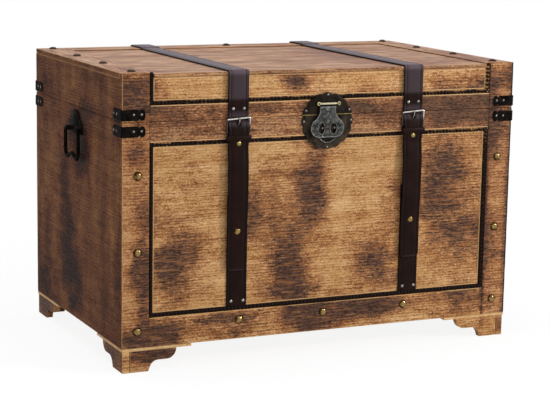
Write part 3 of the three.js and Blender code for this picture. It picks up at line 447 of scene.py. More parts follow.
# %% Stained softwood
def wood(name, tones, smoke_tones, worn, grain, line=2.8, streak=6.0, contrast=0.75, roughness=0.58, mottle=1.0,
         specular=0.12, ragged=0.75, wear=0.0, wash=0.0):
    """Stained softwood. Grain is the axis it runs along. Line is the spacing of its fibres and streak
    their length, in millimetres. The higher ragged is, the more the clouds' edges break up along the
    grain. Wash is how much the upright strokes of a wide brush change the tone."""
    material, tree = new_finish(name)
    place = add_node(tree, "TexCoord", (), "Object")

    def stretch(across_mm, along_mm):
        return [1000 / (along_mm if axis == grain else across_mm) for axis in "XYZ"]

    lines, pores, fibres, bands, patches, brush = (
        add_node(tree, "TexNoise", {
            "Vector": add_node(tree, "Mapping", {"Vector": place, "Scale": stretch(across, along)}),
            "Scale": 1.0, "Detail": detail, "Roughness": rough, "Distortion": bend}, "Fac")
        for across, along, detail, rough, bend in (
            (line, streak, 3.0, 0.6, 0.0), (line * 0.6, streak * 0.5, 2.0, 0.7, 0.0),
            (line * 0.6, streak * 3, 3.0, 0.65, 0.4), (line * 6, 130.0, 4.0, 0.65, 0.9),
            (34.0, 52.0, 4.0, 0.6, 0.3), (line, streak * 6, 3.0, 0.65, 0.2)))
    # A growth ring every 5.2 mm. The wave texture has a period of 0.314 units
    ring = 5.2 / 0.314
    rings = add_node(tree, "TexWave", {
        "Vector": add_node(tree, "Mapping", {"Vector": place, "Scale": stretch(ring, ring * 10)}),
        "Scale": 1.0, "Distortion": 14.0, "Detail": 3.0, "Detail Scale": 0.35, "Detail Roughness": 0.6,
    }, "Fac", bands_direction="Y" if grain == "Z" else "Z")
    late_wood = add_node(tree, "MapRange", (rings, 0.0, 0.4, 1.0, 0.0), **SOFT)
    tone = weigh(tree, 0.53 - 1.16 * contrast, (lines, 0.5 * contrast), (bands, 0.8 * contrast),
                 (fibres, 0.3 * contrast), (pores, 0.85 * contrast), (late_wood, -0.1 * contrast))
    if wash:
        # Strokes of a wide brush, about 55 mm across and 190 mm tall
        spread = add_node(tree, "Mapping", {"Vector": place, "Scale": [1000 / 55, 1000 / 55, 1000 / 190]})
        strokes = add_node(tree, "TexNoise", {"Vector": spread, "Scale": 1.0, "Detail": 3.0, "Roughness": 0.55},
                           "Fac")
        tone = weigh(tree, -0.5 * wash, (tone, 1.0), (strokes, wash))
    bare = tones_of(tree, tone, list(zip((0.2, 0.42, 0.6, 0.82), tones)))

    smoke = add_node(tree, "Attribute", (), "Fac", attribute_name="smoke")
    cloud = weigh(tree, -0.21 - 0.55 * mottle + 1.03 * ragged, (smoke, 0.7), (late_wood, 0.12),
                  (pores, -0.7 * ragged), (lines, -0.75 * ragged), (fibres, -0.6 * ragged),
                  (patches, 1.1 * mottle))
    stained = add_node(tree, "MapRange", (cloud, -0.1, 0.42, 0.0, 0.97), **SOFT)
    # A wire brush has taken the stain off again along the grain
    brushed = add_node(tree, "MapRange", (brush, 0.5, 0.66, 1.0, 0.45), **SOFT)
    cover = add_node(tree, "Math", (stained, brushed), operation="MULTIPLY")
    dark = tones_of(tree, weigh(tree, 0.0, (lines, 0.5), (fibres, 0.5)), list(zip((0.4, 0.6), smoke_tones)))
    # The stain's thin edge is redder
    fringe = add_node(tree, "MapRange", (cloud, -0.26, 0.12, 0.0, 0.6), **SOFT)
    red = add_node(tree, "Mix", {0: 1.0, 6: bare, 7: linear("#c98f72")}, 2, data_type="RGBA",
                   blend_type="MULTIPLY")

    edge = add_node(tree, "Attribute", (), "Fac", attribute_name="edge")
    rubbed = add_node(tree, "MapRange", (weigh(tree, edge, (patches, 1.1)), 1.1 - wear, 1.55 - wear, 0.0, 0.85),
                      **SOFT)
    burnt = add_node(tree, "MapRange", (weigh(tree, 0.0, (edge, -1.0)), 0.0, 1.0))
    colour = bare
    for share, over in ((fringe, red), (cover, dark), (rubbed, linear(worn)), (burnt, linear("#1d120c"))):
        colour = add_node(tree, "Mix", {0: share, 6: colour, 7: over}, 2, data_type="RGBA")
    shine = add_node(tree, "MapRange", (lines, 0.3, 0.7, roughness + 0.12, roughness - 0.1))
    relief = weigh(tree, lines, (pores, 0.4), (bands, 0.6))
    end_finish(tree, colour, shine, relief, 0.45, 0.5, IOR=1.5, Specular_IOR_Level=specular)
    return material


# %% The chest's woods
stain, honey_worn = ("#1f1410", "#5c4034"), "#d2a870"
# Honey-coloured pine on the front: warm, with dark clouds
front_wood = wood("honey_stained_pine", ("#6c4227", "#a06e3d", "#c09561", "#dcb686"), stain, honey_worn, "X")
# The two rails at the lid's opening are smoked all over, so that they look half burnt
band_wood = wood("smoked_pine_rail", ("#4b3222", "#735138", "#9d7350", "#c99a66"), ("#2f1e17", "#674a36"),
                 "#d6ab78", "X", contrast=1.0, mottle=1.3, wear=0.3)
# The stiles are a shade darker than the panel, and the lid's front, which the sun reaches, is paler
stile_wood = wood("stained_pine_stile", ("#6c4227", "#98683a", "#b5885a", "#cba376"), stain, honey_worn, "X")
lid_wood = wood("sunned_pine_lid", ("#6c4227", "#a67340", "#c99c67", "#eac599"), stain, "#d9b07a", "X")
# Sides and back got a coat of brown stain with a wide brush, which leaves upright strokes
side_coat = dict(tones=("#361b10", "#522e1a", "#6e4528", "#8d623c"), smoke_tones=("#120a09", "#281813"),
                 worn="#a87c54", line=2.4, streak=8.0, contrast=0.7, ragged=0.35, specular=0.04, wash=0.8)
side_wood = wood("brown_stained_pine_side", grain="Y", **side_coat)
back_wood = wood("brown_stained_pine_back", grain="X", **side_coat)
# The top is waxed, with long streaks of grain. Its greyer tones are partly the waxed wood's own colour and partly
# a painted sheen
top_coat_and_sheen = dict(tones=("#684835", "#8d674c", "#a98061", "#c39c7d"), smoke_tones=("#5c3f34", "#7d5c4c"),
                worn="#b08a6c", line=4.5, streak=70.0, contrast=1.2, roughness=0.5, mottle=0.7, wash=0.4)
top_wood = wood("waxed_pine_top", grain="X", **top_coat_and_sheen)
top_side_wood = wood("waxed_pine_top_end", grain="Y", **top_coat_and_sheen)
# Bottom and foot plates have no stain, and the feet have more than the rest
pale_wood = wood("bare_pine", ("#a07040", "#bb8a52", "#cfa26a", "#dfb983"), ("#77543a", "#9a724c"), "#e2c290", "X",
                 contrast=0.7, mottle=0.5)
foot_wood = wood("stained_pine_foot", ("#4a2b1b", "#6b442a", "#8b6040", "#a67c55"), ("#20130e", "#4c3123"),
                 "#b98c5c", "Y")
print("Wood finishes:", [m.name for m in bpy.data.materials if "pine" in m.name])

# %% [markdown]
# ## Leather and metals
#
# The leather is vegetable-tanned harness leather, dyed through and waxed: nearly black, with a purple
# cast, a soft broad sheen and shallow pores. Its value called edge marks the burnished edges, and a second
# value a painted sheen: paler over the lid, the most on top, and at the bend, over the buckle's bar and at
# the tip. Its real pores, 0.2 mm apart, are drawn 1.6 mm apart to show.
#
# A metal's colour is its reflection, so each metal gets a dark and a light tone and a roughness that
# changes a little from place to place, as a patina does.

# %% Leather
def leather(name, dark, light, rub, roughness=0.42):
    material, tree = new_finish(name)
    place = add_node(tree, "TexCoord", (), "Object")
    shades, wrinkles = (
        add_node(tree, "TexNoise", {"Vector": place, "Scale": 1000 / spacing_mm, "Detail": detail,
                                    "Roughness": rough}, "Fac")
        for spacing_mm, detail, rough in ((30, 5.0, 0.6), (7, 6.0, 0.7)))
    pores = add_node(tree, "TexVoronoi", {"Vector": place, "Scale": 1000 / 1.6}, "Distance")
    # The second value is a painted sheen, mixed towards its own paler colour
    edge, sheen_share = (add_node(tree, "Attribute", (), "Fac", attribute_name=value) for value in ("edge", "rub"))
    colour = tones_of(tree, shades, [(0.3, dark), (0.75, light)])
    for share, over in ((sheen_share, rub), (edge, "#0e0809")):
        colour = add_node(tree, "Mix", {0: share, 6: colour, 7: linear(over)}, 2, data_type="RGBA")
    shine = add_node(tree, "MapRange", (wrinkles, 0.3, 0.7, roughness - 0.07, roughness + 0.12))
    end_finish(tree, colour, shine, weigh(tree, wrinkles, (pores, 0.35)), 0.35, 0.4, IOR=1.4,
               Specular_IOR_Level=0.08)
    return material


# The third colour is the painted sheen
harness = leather("waxed_harness_leather", "#150907", "#24130e", "#5e5157")
print("Leather finish:", harness.name)

# %% Metals
def metal(name, dark, light, roughness, grain_mm=6.0, relief_mm=0.05, **coat):
    """A metal whose colour and polish change between two tones over patches of grain_mm. A value of painted
    light shifts them on nail heads and buckles: painted shade below zero, at a head's rim, and a painted
    highlight above it, in the middle. A coat of lacquer or japan over it is given by its own shader values."""
    material, tree = new_finish(name)
    place = add_node(tree, "TexCoord", (), "Object")
    patches = add_node(tree, "TexNoise", {"Vector": place, "Scale": 1000 / grain_mm, "Detail": 5.0,
                                          "Roughness": 0.6}, "Fac")
    fine = add_node(tree, "TexNoise", {"Vector": place, "Scale": 1000 / (grain_mm / 5), "Detail": 3.0}, "Fac")
    # Painted light: below zero it darkens as painted shade, above zero it lightens as a painted highlight
    crown = add_node(tree, "Attribute", (), "Fac", attribute_name="crown")
    patina_and_painted_shine = add_node(tree, "Math", (patches, crown), operation="ADD")
    shine = add_node(tree, "MapRange", (patches, 0.3, 0.7, roughness + 0.12, roughness - 0.05))
    end_finish(tree, tones_of(tree, patina_and_painted_shine, [(0.34, dark), (0.62, light)]), shine, fine, 0.4, relief_mm,
               **{"Metallic": 1.0, **coat})
    return material


# Plated wire is bright and sharp. Old brass is dark, and the gold gleam on a head's top is a painted highlight
nickel = metal("nickel_plated_wire", "#4a4743", "#c4c0b8", 0.24)
brass = metal("antique_brass_nail", "#2a1d0f", "#94784a", 0.18, 7.0)
# The nails on the lid's top are the same brass, darker as painted shade
brass_painted_shade = metal("brass_nail_painted_shade", "#2a2019", "#57463a", 0.4, 4.0)
bright_brass = metal("worn_brass_edge", "#5c5030", "#9c8c54", 0.3, 4.0)
eye_brass = metal("cast_brass_eye", "#857a48", "#cfc690", 0.28, 4.0)
# Japanned and browned iron show their coat and no metal: nearly black, with a faint broad shine
iron = metal("black_japanned_iron", "#080706", "#1c1816", 0.4, 12.0, Metallic=0.0, Specular_IOR_Level=0.4,
             IOR=1.05)
# The lower plate is the same browned iron, made lighter as a painted sheen
latch_iron, latch_iron_painted_sheen = (
    metal(name, dark, light, 0.3, 22.0, Metallic=0.0, Specular_IOR_Level=specular, IOR=1.3)
    for name, dark, light, specular in (("browned_latch_iron", "#070605", "#2c231a", 0.12),
                                        ("latch_iron_painted_sheen", "#0b0a08", "#40362b", 0.14)))
# Gunmetal is a soft grey, and its raised lines are rubbed bright. The same bright metal makes the painted
# highlight on the disc's rim
gunmetal = metal("engraved_gunmetal", "#242423", "#434442", 0.34, relief_mm=0.1)
rubbed_relief_and_highlight = metal("rubbed_gunmetal_relief", "#545552", "#9a9b96", 0.3, 3.0)
# Plain steel: oiled on the hinges, bright where it turns, dull or black on small nails
steel = metal("oiled_steel_hinge", "#35322e", "#5a554d", 0.4, 9.0)
barrel_metal = metal("bright_steel_barrel", "#8f8972", "#cfc8a8", 0.22)
steel_pin = metal("dulled_steel_nail", "#4e4b46", "#9a968e", 0.3)
dark_pin = metal("blackened_steel_nail", "#2f2c28", "#7c7871", 0.32, 4.0)
print("Metal finishes end with", dark_pin.name)

# %% [markdown]
# The moulding was painted dark over gold size, and where it has been touched the gold shows again. The
# gold on the beads' upper sides is a painted highlight, and the moulding is kept darker the lower it lies
# and on the left upright, as painted shade.

# %% Rubbed paint of the moulding
# Left of this x the moulding is kept dark as painted shade
left_shade_edge = (-327 * MM, -322 * MM)  # x where the left upright's paint ends


def moulding_paint(name, dark, worn, from_z, to_z, hold):
    """Dark paint that is rubbed down to gold size in patches. Painted light is mixed in: upward faces show more
    gold, a painted highlight, and the paint stays darker the lower it lies between two heights in millimetres
    above the floor and on the left upright, as painted shade. The lower its hold, the more has gone."""
    material, tree = new_finish(name)
    place = add_node(tree, "TexCoord", (), "Object")
    x, height = (add_node(tree, "SeparateXYZ", (place,), axis) for axis in "XZ")
    # Painted light: upward faces lighter as a painted highlight, and low rows and the left upright darker as
    # painted shade
    up = add_node(tree, "SeparateXYZ", (add_node(tree, "NewGeometry", (), "Normal"),), "Z")
    left = add_node(tree, "MapRange", (x, *left_shade_edge, -0.6, 0.0))
    high = add_node(tree, "MapRange", (height, from_z * MM, to_z * MM, -0.5, 0.0))
    wear = add_node(tree, "TexNoise", {"Vector": place, "Scale": 1000 / 45, "Detail": 4.0, "Roughness": 0.6},
                    "Fac")
    chips = add_node(tree, "TexNoise", {"Vector": place, "Scale": 1000 / 4, "Detail": 2.0}, "Fac")
    bare = weigh(tree, high, (left, 1.0), (up, 0.45), (wear, 1.4), (chips, 0.8))
    gold_wear_and_highlight = add_node(tree, "MapRange", (bare, hold, hold + 0.18), **SOFT)
    colour = add_node(tree, "Mix", {0: gold_wear_and_highlight, 6: linear(dark), 7: linear(worn)}, 2, data_type="RGBA")
    shine = add_node(tree, "MapRange", (chips, 0.3, 0.7, 0.65, 0.45))
    end_finish(tree, colour, shine, chips, 0.4, 0.1, Specular_IOR_Level=0.08)
    return material


rope_finish = moulding_paint("dark_stained_rope_moulding", "#180d09", "#a67a4b", 180, 400, 1.34)
ground_finish = moulding_paint("stained_moulding_ground", "#1a0f0a", "#94704c", 200, 400, 0.98)
print(len(bpy.data.materials), "finishes in all")

# %% [markdown]
# ## Clouds of stain
#
# Dark stain lies on the boards in large soft clouds. Each one is an oval that fades outwards, placed
# one by one after the photograph, and a board's points read how deep they lie in them.

# %% Clouds of dark stain, and one of painted shade
# Each cloud: x and z of its middle on the front, its half width and half height, and its strength.
front_clouds = [
    (-26, 310, 32, 80, 1.0), (-62, 158, 28, 54, 0.95), (-92, 235, 40, 60, 0.5), (-140, 268, 22, 46, 0.8),
    (-65, 122, 34, 26, 0.7), (-105, 150, 36, 40, 0.35), (-20, 126, 28, 18, 0.4), (-15, 250, 24, 50, 0.15),
    (-292, 185, 34, 40, 1.0), (-262, 205, 40, 34, 0.6), (-285, 130, 36, 26, 0.45), (-288, 262, 40, 26, 0.5),
    (92, 172, 44, 30, 0.75), (118, 132, 44, 24, 0.6), (140, 262, 40, 50, 0.35), (60, 205, 30, 24, 0.2),
    (215, 325, 32, 50, 0.7), (258, 325, 32, 56, 0.5), (212, 255, 40, 40, 0.5), (285, 300, 50, 90, 0.4),
    (262, 200, 60, 50, 0.4), (285, 160, 70, 90, 0.3), (-100, 330, 30, 40, 0.3), (-250, 325, 60, 40, 0.15),
    (-358, 482, 46, 34, 1.0), (-356, 410, 20, 60, 0.25), (-352, 378, 24, 22, 0.7), (-345, 290, 22, 60, 0.5),
    (-343, 185, 18, 30, 1.0), (-356, 172, 16, 22, 0.6), (-341, 120, 12, 90, 0.85), (-352, 58, 50, 22, 1.0),
    (-300, 62, 36, 26, 1.0), (-215, 82, 34, 12, 0.85), (-160, 80, 36, 14, 0.7), (-184, 56, 30, 12, 0.35),
    (-40, 78, 44, 18, 1.0), (30, 78, 80, 22, 1.0), (112, 78, 50, 18, 1.0), (-20, 54, 44, 14, 0.8),
    (215, 86, 60, 10, 0.5), (292, 82, 44, 16, 0.6), (270, 56, 44, 10, 0.4), (0, 60, 360, 40, 0.15),
    (-66, 493, 28, 14, 1.0), (-50, 482, 22, 12, 0.4), (60, 480, 60, 14, 0.15), (285, 484, 60, 24, 0.45),
    (355, 484, 30, 26, 0.55), (348, 402, 24, 34, 0.75), (340, 365, 20, 26, 0.5), (378, 250, 8, 420, 0.6),
    # The cloud at x 331, only 4 mm wide, is no stain: it is painted shade along the right stile's inner edge,
    # where the recess wall lies
    (350, 180, 30, 90, 0.3), (352, 320, 30, 80, 0.2), (331, 250, 4, 260, 1.0), (-335, 26, 46, 12, 1.0),
    (-290, 31, 34, 11, 1.0), (376, 18, 6, 30, 0.9), (-270, 40, 60, 3, 0.6),
    (-280, 430, 70, 26, 0.35), (-222, 446, 30, 14, 0.5), (-120, 447, 40, 12, 0.55), (-165, 420, 50, 20, 0.6),
    (-10, 444, 60, 18, 0.9), (110, 430, 60, 26, 0.5), (62, 446, 30, 12, 0.7),
    (200, 445, 60, 24, 0.9), (270, 425, 60, 26, 1.0), (320, 450, 30, 30, 0.9), (-318, 452, 30, 10, 0.7),
]
side_clouds = [  # y and z on the sides
    (218, 392, 50, 38, 1.0), (206, 345, 40, 36, 0.8), (171, 432, 44, 22, 0.65), (262, 388, 30, 26, 0.7),
    (265, 122, 62, 46, 1.0), (286, 196, 38, 46, 0.85), (250, 66, 46, 18, 0.7), (300, 262, 30, 50, 0.5),
    (435, 70, 50, 44, 0.7), (24, 165, 22, 50, 0.7), (24, 432, 20, 24, 0.7), (420, 450, 50, 50, 0.3),
    (400, 190, 50, 90, 0.3), (310, 320, 30, 40, 0.3), (60, 20, 60, 20, 0.7), (430, 20, 50, 20, 0.7),
]
back_clouds = [  # x and z on the back
    (-210, 330, 70, 60, 0.7), (60, 140, 60, 80, 0.8), (240, 260, 80, 50, 0.6), (-90, 480, 90, 30, 0.5),
    (-320, 90, 50, 60, 0.7), (330, 110, 40, 60, 0.6), (150, 430, 60, 40, 0.4),
]
top_clouds = [  # x and y on the top
    (120, 220, 50, 200, 0.5), (60, 200, 120, 60, 0.2), (260, 330, 90, 50, 0.35), (-60, 360, 120, 40, 0.25),
    (240, 66, 100, 34, 0.6), (-352, 60, 26, 60, 0.5), (352, 140, 28, 150, 0.5),
]


def cloud_at(clouds, a, b):
    """How deep a place lies in the clouds of its side: 0 for outside them all and 1 for the darkest."""
    total = 0.0
    for middle_a, middle_b, half_a, half_b, strength in clouds:
        far = ((a - middle_a) / half_a) ** 2 + ((b - middle_b) / half_b) ** 2
        total += strength * math.exp(-1.1 * far)
    return min(total, 1.0)


def smoke_at(point, normal_axis):
    """The stain at a point of a face that looks along the given axis."""
    x, y, z = point
    if normal_axis == 1:
        return cloud_at(front_clouds if y < depth / 2 else back_clouds, x, z)
    if normal_axis == 0:
        return cloud_at(side_clouds, y, z)
    return cloud_at(top_clouds, x, y)


print("Clouds:", [len(clouds) for clouds in (front_clouds, side_clouds, back_clouds, top_clouds)])

# %% [markdown]
# ## Boards
#
# A board is a box whose edges have been eased with a plane and then knocked about. Each one is a grid
# laid over a box: points near an edge are drawn onto a small round, and a little noise eats into that
# round, so that the light catches it unevenly. Every point also gets two values that the wood finish
# reads: edge, how near the arris it is, and smoke, how deep it lies in one of the dark clouds.

# %% A grid over a box
def ticks(low, high, round_mm, cell):
    """Places of the grid lines along one side of a board."""
    length = high - low
    near = [0, 0.4 * round_mm, round_mm, round_mm + 1.6, round_mm + 4]
    if length < 2 * near[-1] + 2:
        near = near[:3]
    inner = max(1, round((length - 2 * near[-1]) / cell))
    middle = [near[-1] + (length - 2 * near[-1]) * i / inner for i in range(1, inner)]
    return [low + t for t in near + middle] + [high - t for t in reversed(near)]


def box_grid(grid):
    """Points and faces of a box's skin over the grid lines of its three axes."""
    index, faces = {}, []
    for axis in range(3):
        a, b = [other for other in range(3) if other != axis]
        for end in (0, len(grid[axis]) - 1):
            for i in range(len(grid[a]) - 1):
                for j in range(len(grid[b]) - 1):
                    face = []
                    for di, dj in ((0, 0), (1, 0), (1, 1), (0, 1)):
                        spot = [0, 0, 0]
                        spot[axis], spot[a], spot[b] = end, i + di, j + dj
                        face.append(index.setdefault(tuple(spot), len(index)))
                    faces.append(tuple(face))
    return np.array([[grid[a][k] for a, k in enumerate(spot)] for spot in index]), faces


print("Grid lines along a 20 mm edge:", ticks(0, 20, 1.4, 9.0))

# %% [markdown]
# A board is worked on in four steps: draw the grid lines closer where a line of wear or dark is wanted,
# find how near each point is to an edge, round the edges off, and eat into them with noise.

# %% Boards with eased, worn edges
def board(name, low, high, round_mm=1.4, cell=9.0, chips=0.5, seed=0.0, plain=(), bright=(), burnt=(), border=0.0,
          open_top=False):
    """A board between two corners in chest millimetres, as a mesh with its edge and smoke values. The
    sides named in plain, each an axis and 0 or 1 for its low or high end, keep their stain on their edges,
    those in bright lose it and those in burnt have a black line there. A border is a thin pale line at
    that distance from the sides, or right at the top where no moulding runs along it."""
    grid = [ticks(low[a], high[a], round_mm, cell) for a in range(3)]
    for axis, end in burnt:
        line = [(high[axis] - d if end else low[axis] + d) for d in (2.6, 3.4)]
        grid[axis] = sorted({*(g for g in grid[axis] if not min(line) - 0.5 < g < max(line) + 0.5), *line})
    for a in (0, 2) if border else ():
        lines = [border + step for step in (0, 0.3, 1.6, 2.0)]
        grid[a] = sorted({*(g for g in grid[a] if not border - 1 < min(g - low[a], high[a] - g) < border + 3),
                          *(low[a] + d for d in lines), *(high[a] - d for d in lines)})
    spots, faces = box_grid(grid)
    low, high = np.array(low, float), np.array(high, float)
    to_side = np.minimum(spots - low, high - spots)
    near = np.argsort(to_side, axis=1)[:, :2]
    edge = np.clip(1 - np.sort(to_side, axis=1)[:, 1] / (round_mm + 2.2), 0, 1)
    for sides, factor in ((plain, 0), (bright, 1.7)):
        for axis, end in sides:
            ends_there = (spots[:, axis] * 2 > (low + high)[axis]) == bool(end)
            edge[ends_there & (near == axis).any(axis=1)] *= factor
    for axis, end in burnt:
        reach = high[axis] - spots[:, axis] if end else spots[:, axis] - low[axis]
        edge[(reach < 3.0) & (to_side[:, 1] < 2.0)] = -1.0
    if border:
        below_top = high[2] - spots[:, 2] + (border - 1.0 if open_top else 0.0)
        beside = np.minimum(np.minimum(to_side[:, 0], spots[:, 2] - low[2]), below_top) - border
        edge[(beside > 0.2) & (beside < 1.7)] = 1.2
    core = np.clip(spots, low + round_mm, high - round_mm)
    reach = spots - core
    length = np.linalg.norm(reach, axis=1, keepdims=True)
    outwards = reach / np.maximum(length, 1e-9)
    spots = np.where(length > 0, core + outwards * round_mm, spots)
    worn = np.array([
        max(0.0, noise.fractal(Vector(p) * 0.045 + Vector((seed, seed, 0)), 1.0, 2.0, 4)) for p in spots])
    spots -= np.where(length > 0, outwards, 0) * (worn * edge ** 2 * chips)[:, None]
    thin = int(np.argmin(high - low))
    on_end = (thin == 1) & (to_side[:, 0] < to_side[:, 1] - 0.2)
    mesh = bpy.data.meshes.new(name)
    mesh.from_pydata([at(*p) for p in spots], [], faces)
    give_values(mesh, edge=edge, smoke=[smoke_at(p, 0 if end else thin) for p, end in zip(spots, on_end)])
    work = bmesh.new()
    work.from_mesh(mesh)
    bmesh.ops.recalc_face_normals(work, faces=work.faces)
    work.to_mesh(mesh)
    work.free()
    mesh.shade_smooth()
    return mesh


# %% Boards in place of nodes
def show_on(mesh, finish, others):
    """Finishes a board, with other finishes on the faces that look along the given axes."""
    mesh.materials.append(finish)
    for index, (axis, other) in enumerate(others.items(), 1):
        mesh.materials.append(other)
        for face in mesh.polygons:
            if abs(face.normal[axis]) > 0.6:
                face.material_index = index


def board_of(node, finish, body, slot, others={}, trim=(), **options):
    """A board in place of a node. Its box is the node's own, less the nail heads that trim cuts off: an
    end, an axis and the place where the wood ends."""
    corners = [[x, y - front_y, z] for x, y, z in node_box(node)]
    for end, axis, place in trim:
        corners[end][axis] = place
    # The wear of each board starts from how many objects there are, so the order of boards counts
    mesh = board(node + "_board", *corners, seed=len(bpy.data.objects) * 1.7, **options)
    show_on(mesh, finish, others)
    add_piece(node + "_board", mesh, finish, body, slot, node)


# %% [markdown]
# The front is a frame round a panel. Stiles and rails were glued up before the stain went on, so it
# runs over their joints without a worn edge. A thin pale line is drawn on the panel beside the moulding.

# %% Front boards
LEFT_END, RIGHT_END, FRONT_FACE, UNDERSIDE, TOPSIDE = (0, 0), (0, 1), (1, 0), (2, 0), (2, 1)
rope_wide = 7.5
flush_front = [(0, 1, 0.0)]
shared = dict(cell=7.0, round_mm=0.9, others={0: side_wood})
for side, inner, burnt in (("left", RIGHT_END, ()), ("right", LEFT_END, [RIGHT_END])):
    board_of(f"body_{side}_stile", stile_wood, "body", "front_wood", trim=flush_front, burnt=burnt,
             plain=(TOPSIDE, inner), **shared)
    board_of(f"lid_{side}_stile", stile_wood, "lid", "smoked_wood", burnt=burnt,
             plain=(UNDERSIDE, TOPSIDE, inner), **shared)
joints = (LEFT_END, RIGHT_END)
board_of("body_lower_rail", front_wood, "body", "smoked_wood", trim=flush_front, cell=7.0, plain=joints)
board_of("body_upper_rail", band_wood, "body", "smoked_wood", cell=7.0, round_mm=0.7, plain=(TOPSIDE, *joints))
board_of("lid_front_rail", band_wood, "lid", "smoked_wood", cell=7.0, round_mm=0.7, plain=(UNDERSIDE, *joints))
board_of("body_front_panel", front_wood, "body", "front_wood", cell=7.0, border=rope_wide)
board_of("lid_front_panel", lid_wood, "lid", "front_wood", cell=7.0, border=rope_wide, open_top=True)
print("Front boards made")

# %% [markdown]
# Sides and back are one wide board each, below and above the opening. The lid's panel lies in a frame
# of rails, and its front edge has a narrower tongue that lies between the ends of the lid's moulding.

# %% Side, back, bottom and top boards
for body, opening, worn_edges in (("body", TOPSIDE, ()), ("lid", UNDERSIDE, (TOPSIDE,))):
    for side in ("left", "right", "back"):
        board_of(f"{body}_{side}_board", back_wood if side == "back" else side_wood, body, "side_wood", cell=12.0,
                 chips=0.35, round_mm=0.7, plain=(opening, FRONT_FACE), bright=worn_edges)
board_of("bottom_board", pale_wood, "body", "pale_wood", cell=30.0)
flush_top = [(1, 2, lid_top)]
for side in ("left", "right"):
    board_of(f"lid_{side}_rail", top_side_wood, "lid", "top_wood", trim=flush_top, cell=12.0,
             others={0: side_wood, 1: front_wood})
board_of("lid_back_rail", top_wood, "lid", "top_wood", trim=flush_top, cell=12.0, others={1: back_wood})

stile_wide, glue_line, tongue_end, tongue_deep = 49, 0.3, 6, 12
tongue_half = half_width - stile_wide - rope_wide - 2 * glue_line
low, high = node_box("lid_top_panel")
panel_mesh = board("lid_top_panel_board", (low[0], 0, low[2]), (high[0], high[1] - front_y, high[2]), cell=12.0,
                   plain=[FRONT_FACE])
for v in panel_mesh.vertices:
    over = abs(v.co.x) / MM - (high[0] - tongue_end)
    if over > 0 and v.co.y / MM - front_y < tongue_deep:
        squeezed = high[0] - tongue_end + over * (tongue_half - high[0] + tongue_end) / tongue_end
        v.co.x = math.copysign(squeezed * MM, v.co.x)
show_on(panel_mesh, top_wood, {1: band_wood})
add_piece("lid_top_panel_board", panel_mesh, top_wood, "lid", "top_wood", "lid_top_panel")
for side, sign in SIDES:
    for end in ("front", "back"):
        board_of(f"{end}_{side}_foot_plate", pale_wood, "body", "pale_wood", round_mm=0.8, cell=16.0)

# %% [markdown]
# ## Feet
#
# Each foot is a corner bracket of two shaped boards. The one along the side runs through to the
# front, so that its end grain shows as a strip beside the front board, which butts against it. The
# profile is a straight toe, a cove and a rounded shoulder, cut with a bow saw.

# %% Bracket feet
foot_inset, foot_thick, foot_high, foot_bevel = 1.5, 13.0, 37.7, 0.9
paint_cell = 9 * MM


def foot_profile(start):
    """Outline of a bracket board from its outer edge inwards, in millimetres."""
    toe, cove, rise, shoulder_at, shoulder = 48.1, 18.4, 18.8, 82.5, 17
    ends = ((toe, 0), (toe + 0.16 * cove, 0.64 * rise), (toe + 0.46 * cove, rise), (toe + cove, rise))
    shares = [i / 10 for i in range(11)]
    weights = [((1 - t) ** 3, 3 * (1 - t) ** 2 * t, 3 * (1 - t) * t ** 2, t ** 3) for t in shares]
    points = [(start, 0)] + [tuple(sum(w * p[k] for w, p in zip(row, ends)) for k in (0, 1)) for row in weights]
    for i in range(11):
        angle = math.pi / 2 * i / 10
        points.append((shoulder_at + shoulder * math.sin(angle),
                       rise + (foot_high - rise) * (1 - math.cos(angle))))
    return points + [(start, foot_high)]


def paint_wood(mesh, clouds_axis):
    """Gives a sawn piece its smoke and edge values, after cutting it into smaller faces."""
    work = bmesh.new()
    work.from_mesh(mesh)
    for axis in range(3):
        values = [v.co[axis] for v in work.verts]
        for i in range(1, int((max(values) - min(values)) / paint_cell)):
            spot, normal = [0, 0, 0], [0, 0, 0]
            spot[axis], normal[axis] = min(values) + paint_cell * i, 1
            bmesh.ops.bisect_plane(work, geom=work.verts[:] + work.edges[:] + work.faces[:], plane_co=spot,
                                   plane_no=normal, dist=1e-6)
    bmesh.ops.triangulate(work, faces=[f for f in work.faces if len(f.verts) > 4])
    edges = [min(1.0, max((e.calc_face_angle(0.0) for e in v.link_edges), default=0.0) / 0.7) for v in work.verts]
    smokes = [smoke_at((v.co.x / MM, v.co.y / MM - front_y, v.co.z / MM), clouds_axis) for v in work.verts]
    work.to_mesh(mesh)
    work.free()
    give_values(mesh, edge=edges, smoke=smokes)
    mesh.shade_smooth()
    mesh.set_sharp_from_angle(angle=math.radians(32))


def bracket(start, place, flips, corner, clouds_axis):
    """One board of a foot, sawn for the back right corner and turned over to where it belongs."""
    mesh = slab([foot_profile(start)], foot_thick, foot_bevel, place)
    for axis in flips:
        mesh.transform(Matrix.Scale(-1, 4, Vector([int(axis == a) for a in range(3)])))
        mesh.flip_normals()
    mesh.transform(Matrix.Translation(corner))
    paint_wood(mesh, clouds_axis)
    return mesh


for side, sign in SIDES:
    for end, outer_y in (("front", foot_inset), ("back", depth - foot_inset)):
        corner = at(sign * (half_width - foot_inset), outer_y, 0)
        left, back = [0] * (sign < 0), [1] * (end == "back")
        along = bracket(0, plane((-foot_thick * MM, 0, 0), (0, 1, 0)), left + back, corner, 0)
        show_on(along, foot_wood, {1: front_wood} if left else {})
        add_piece(f"{end}_{side}_foot_side", along, foot_wood, "body", "side_wood", f"{end}_{side}_foot")
        across = bracket(foot_thick + foot_bevel, plane((0, foot_thick * MM, 0), (1, 0, 0)),
                         back + [0] * (sign > 0), corner, 1)
        face_wood = foot_wood if back else stile_wood if left else front_wood
        add_piece(f"{end}_{side}_foot_front", across, face_wood, "body", "side_wood")

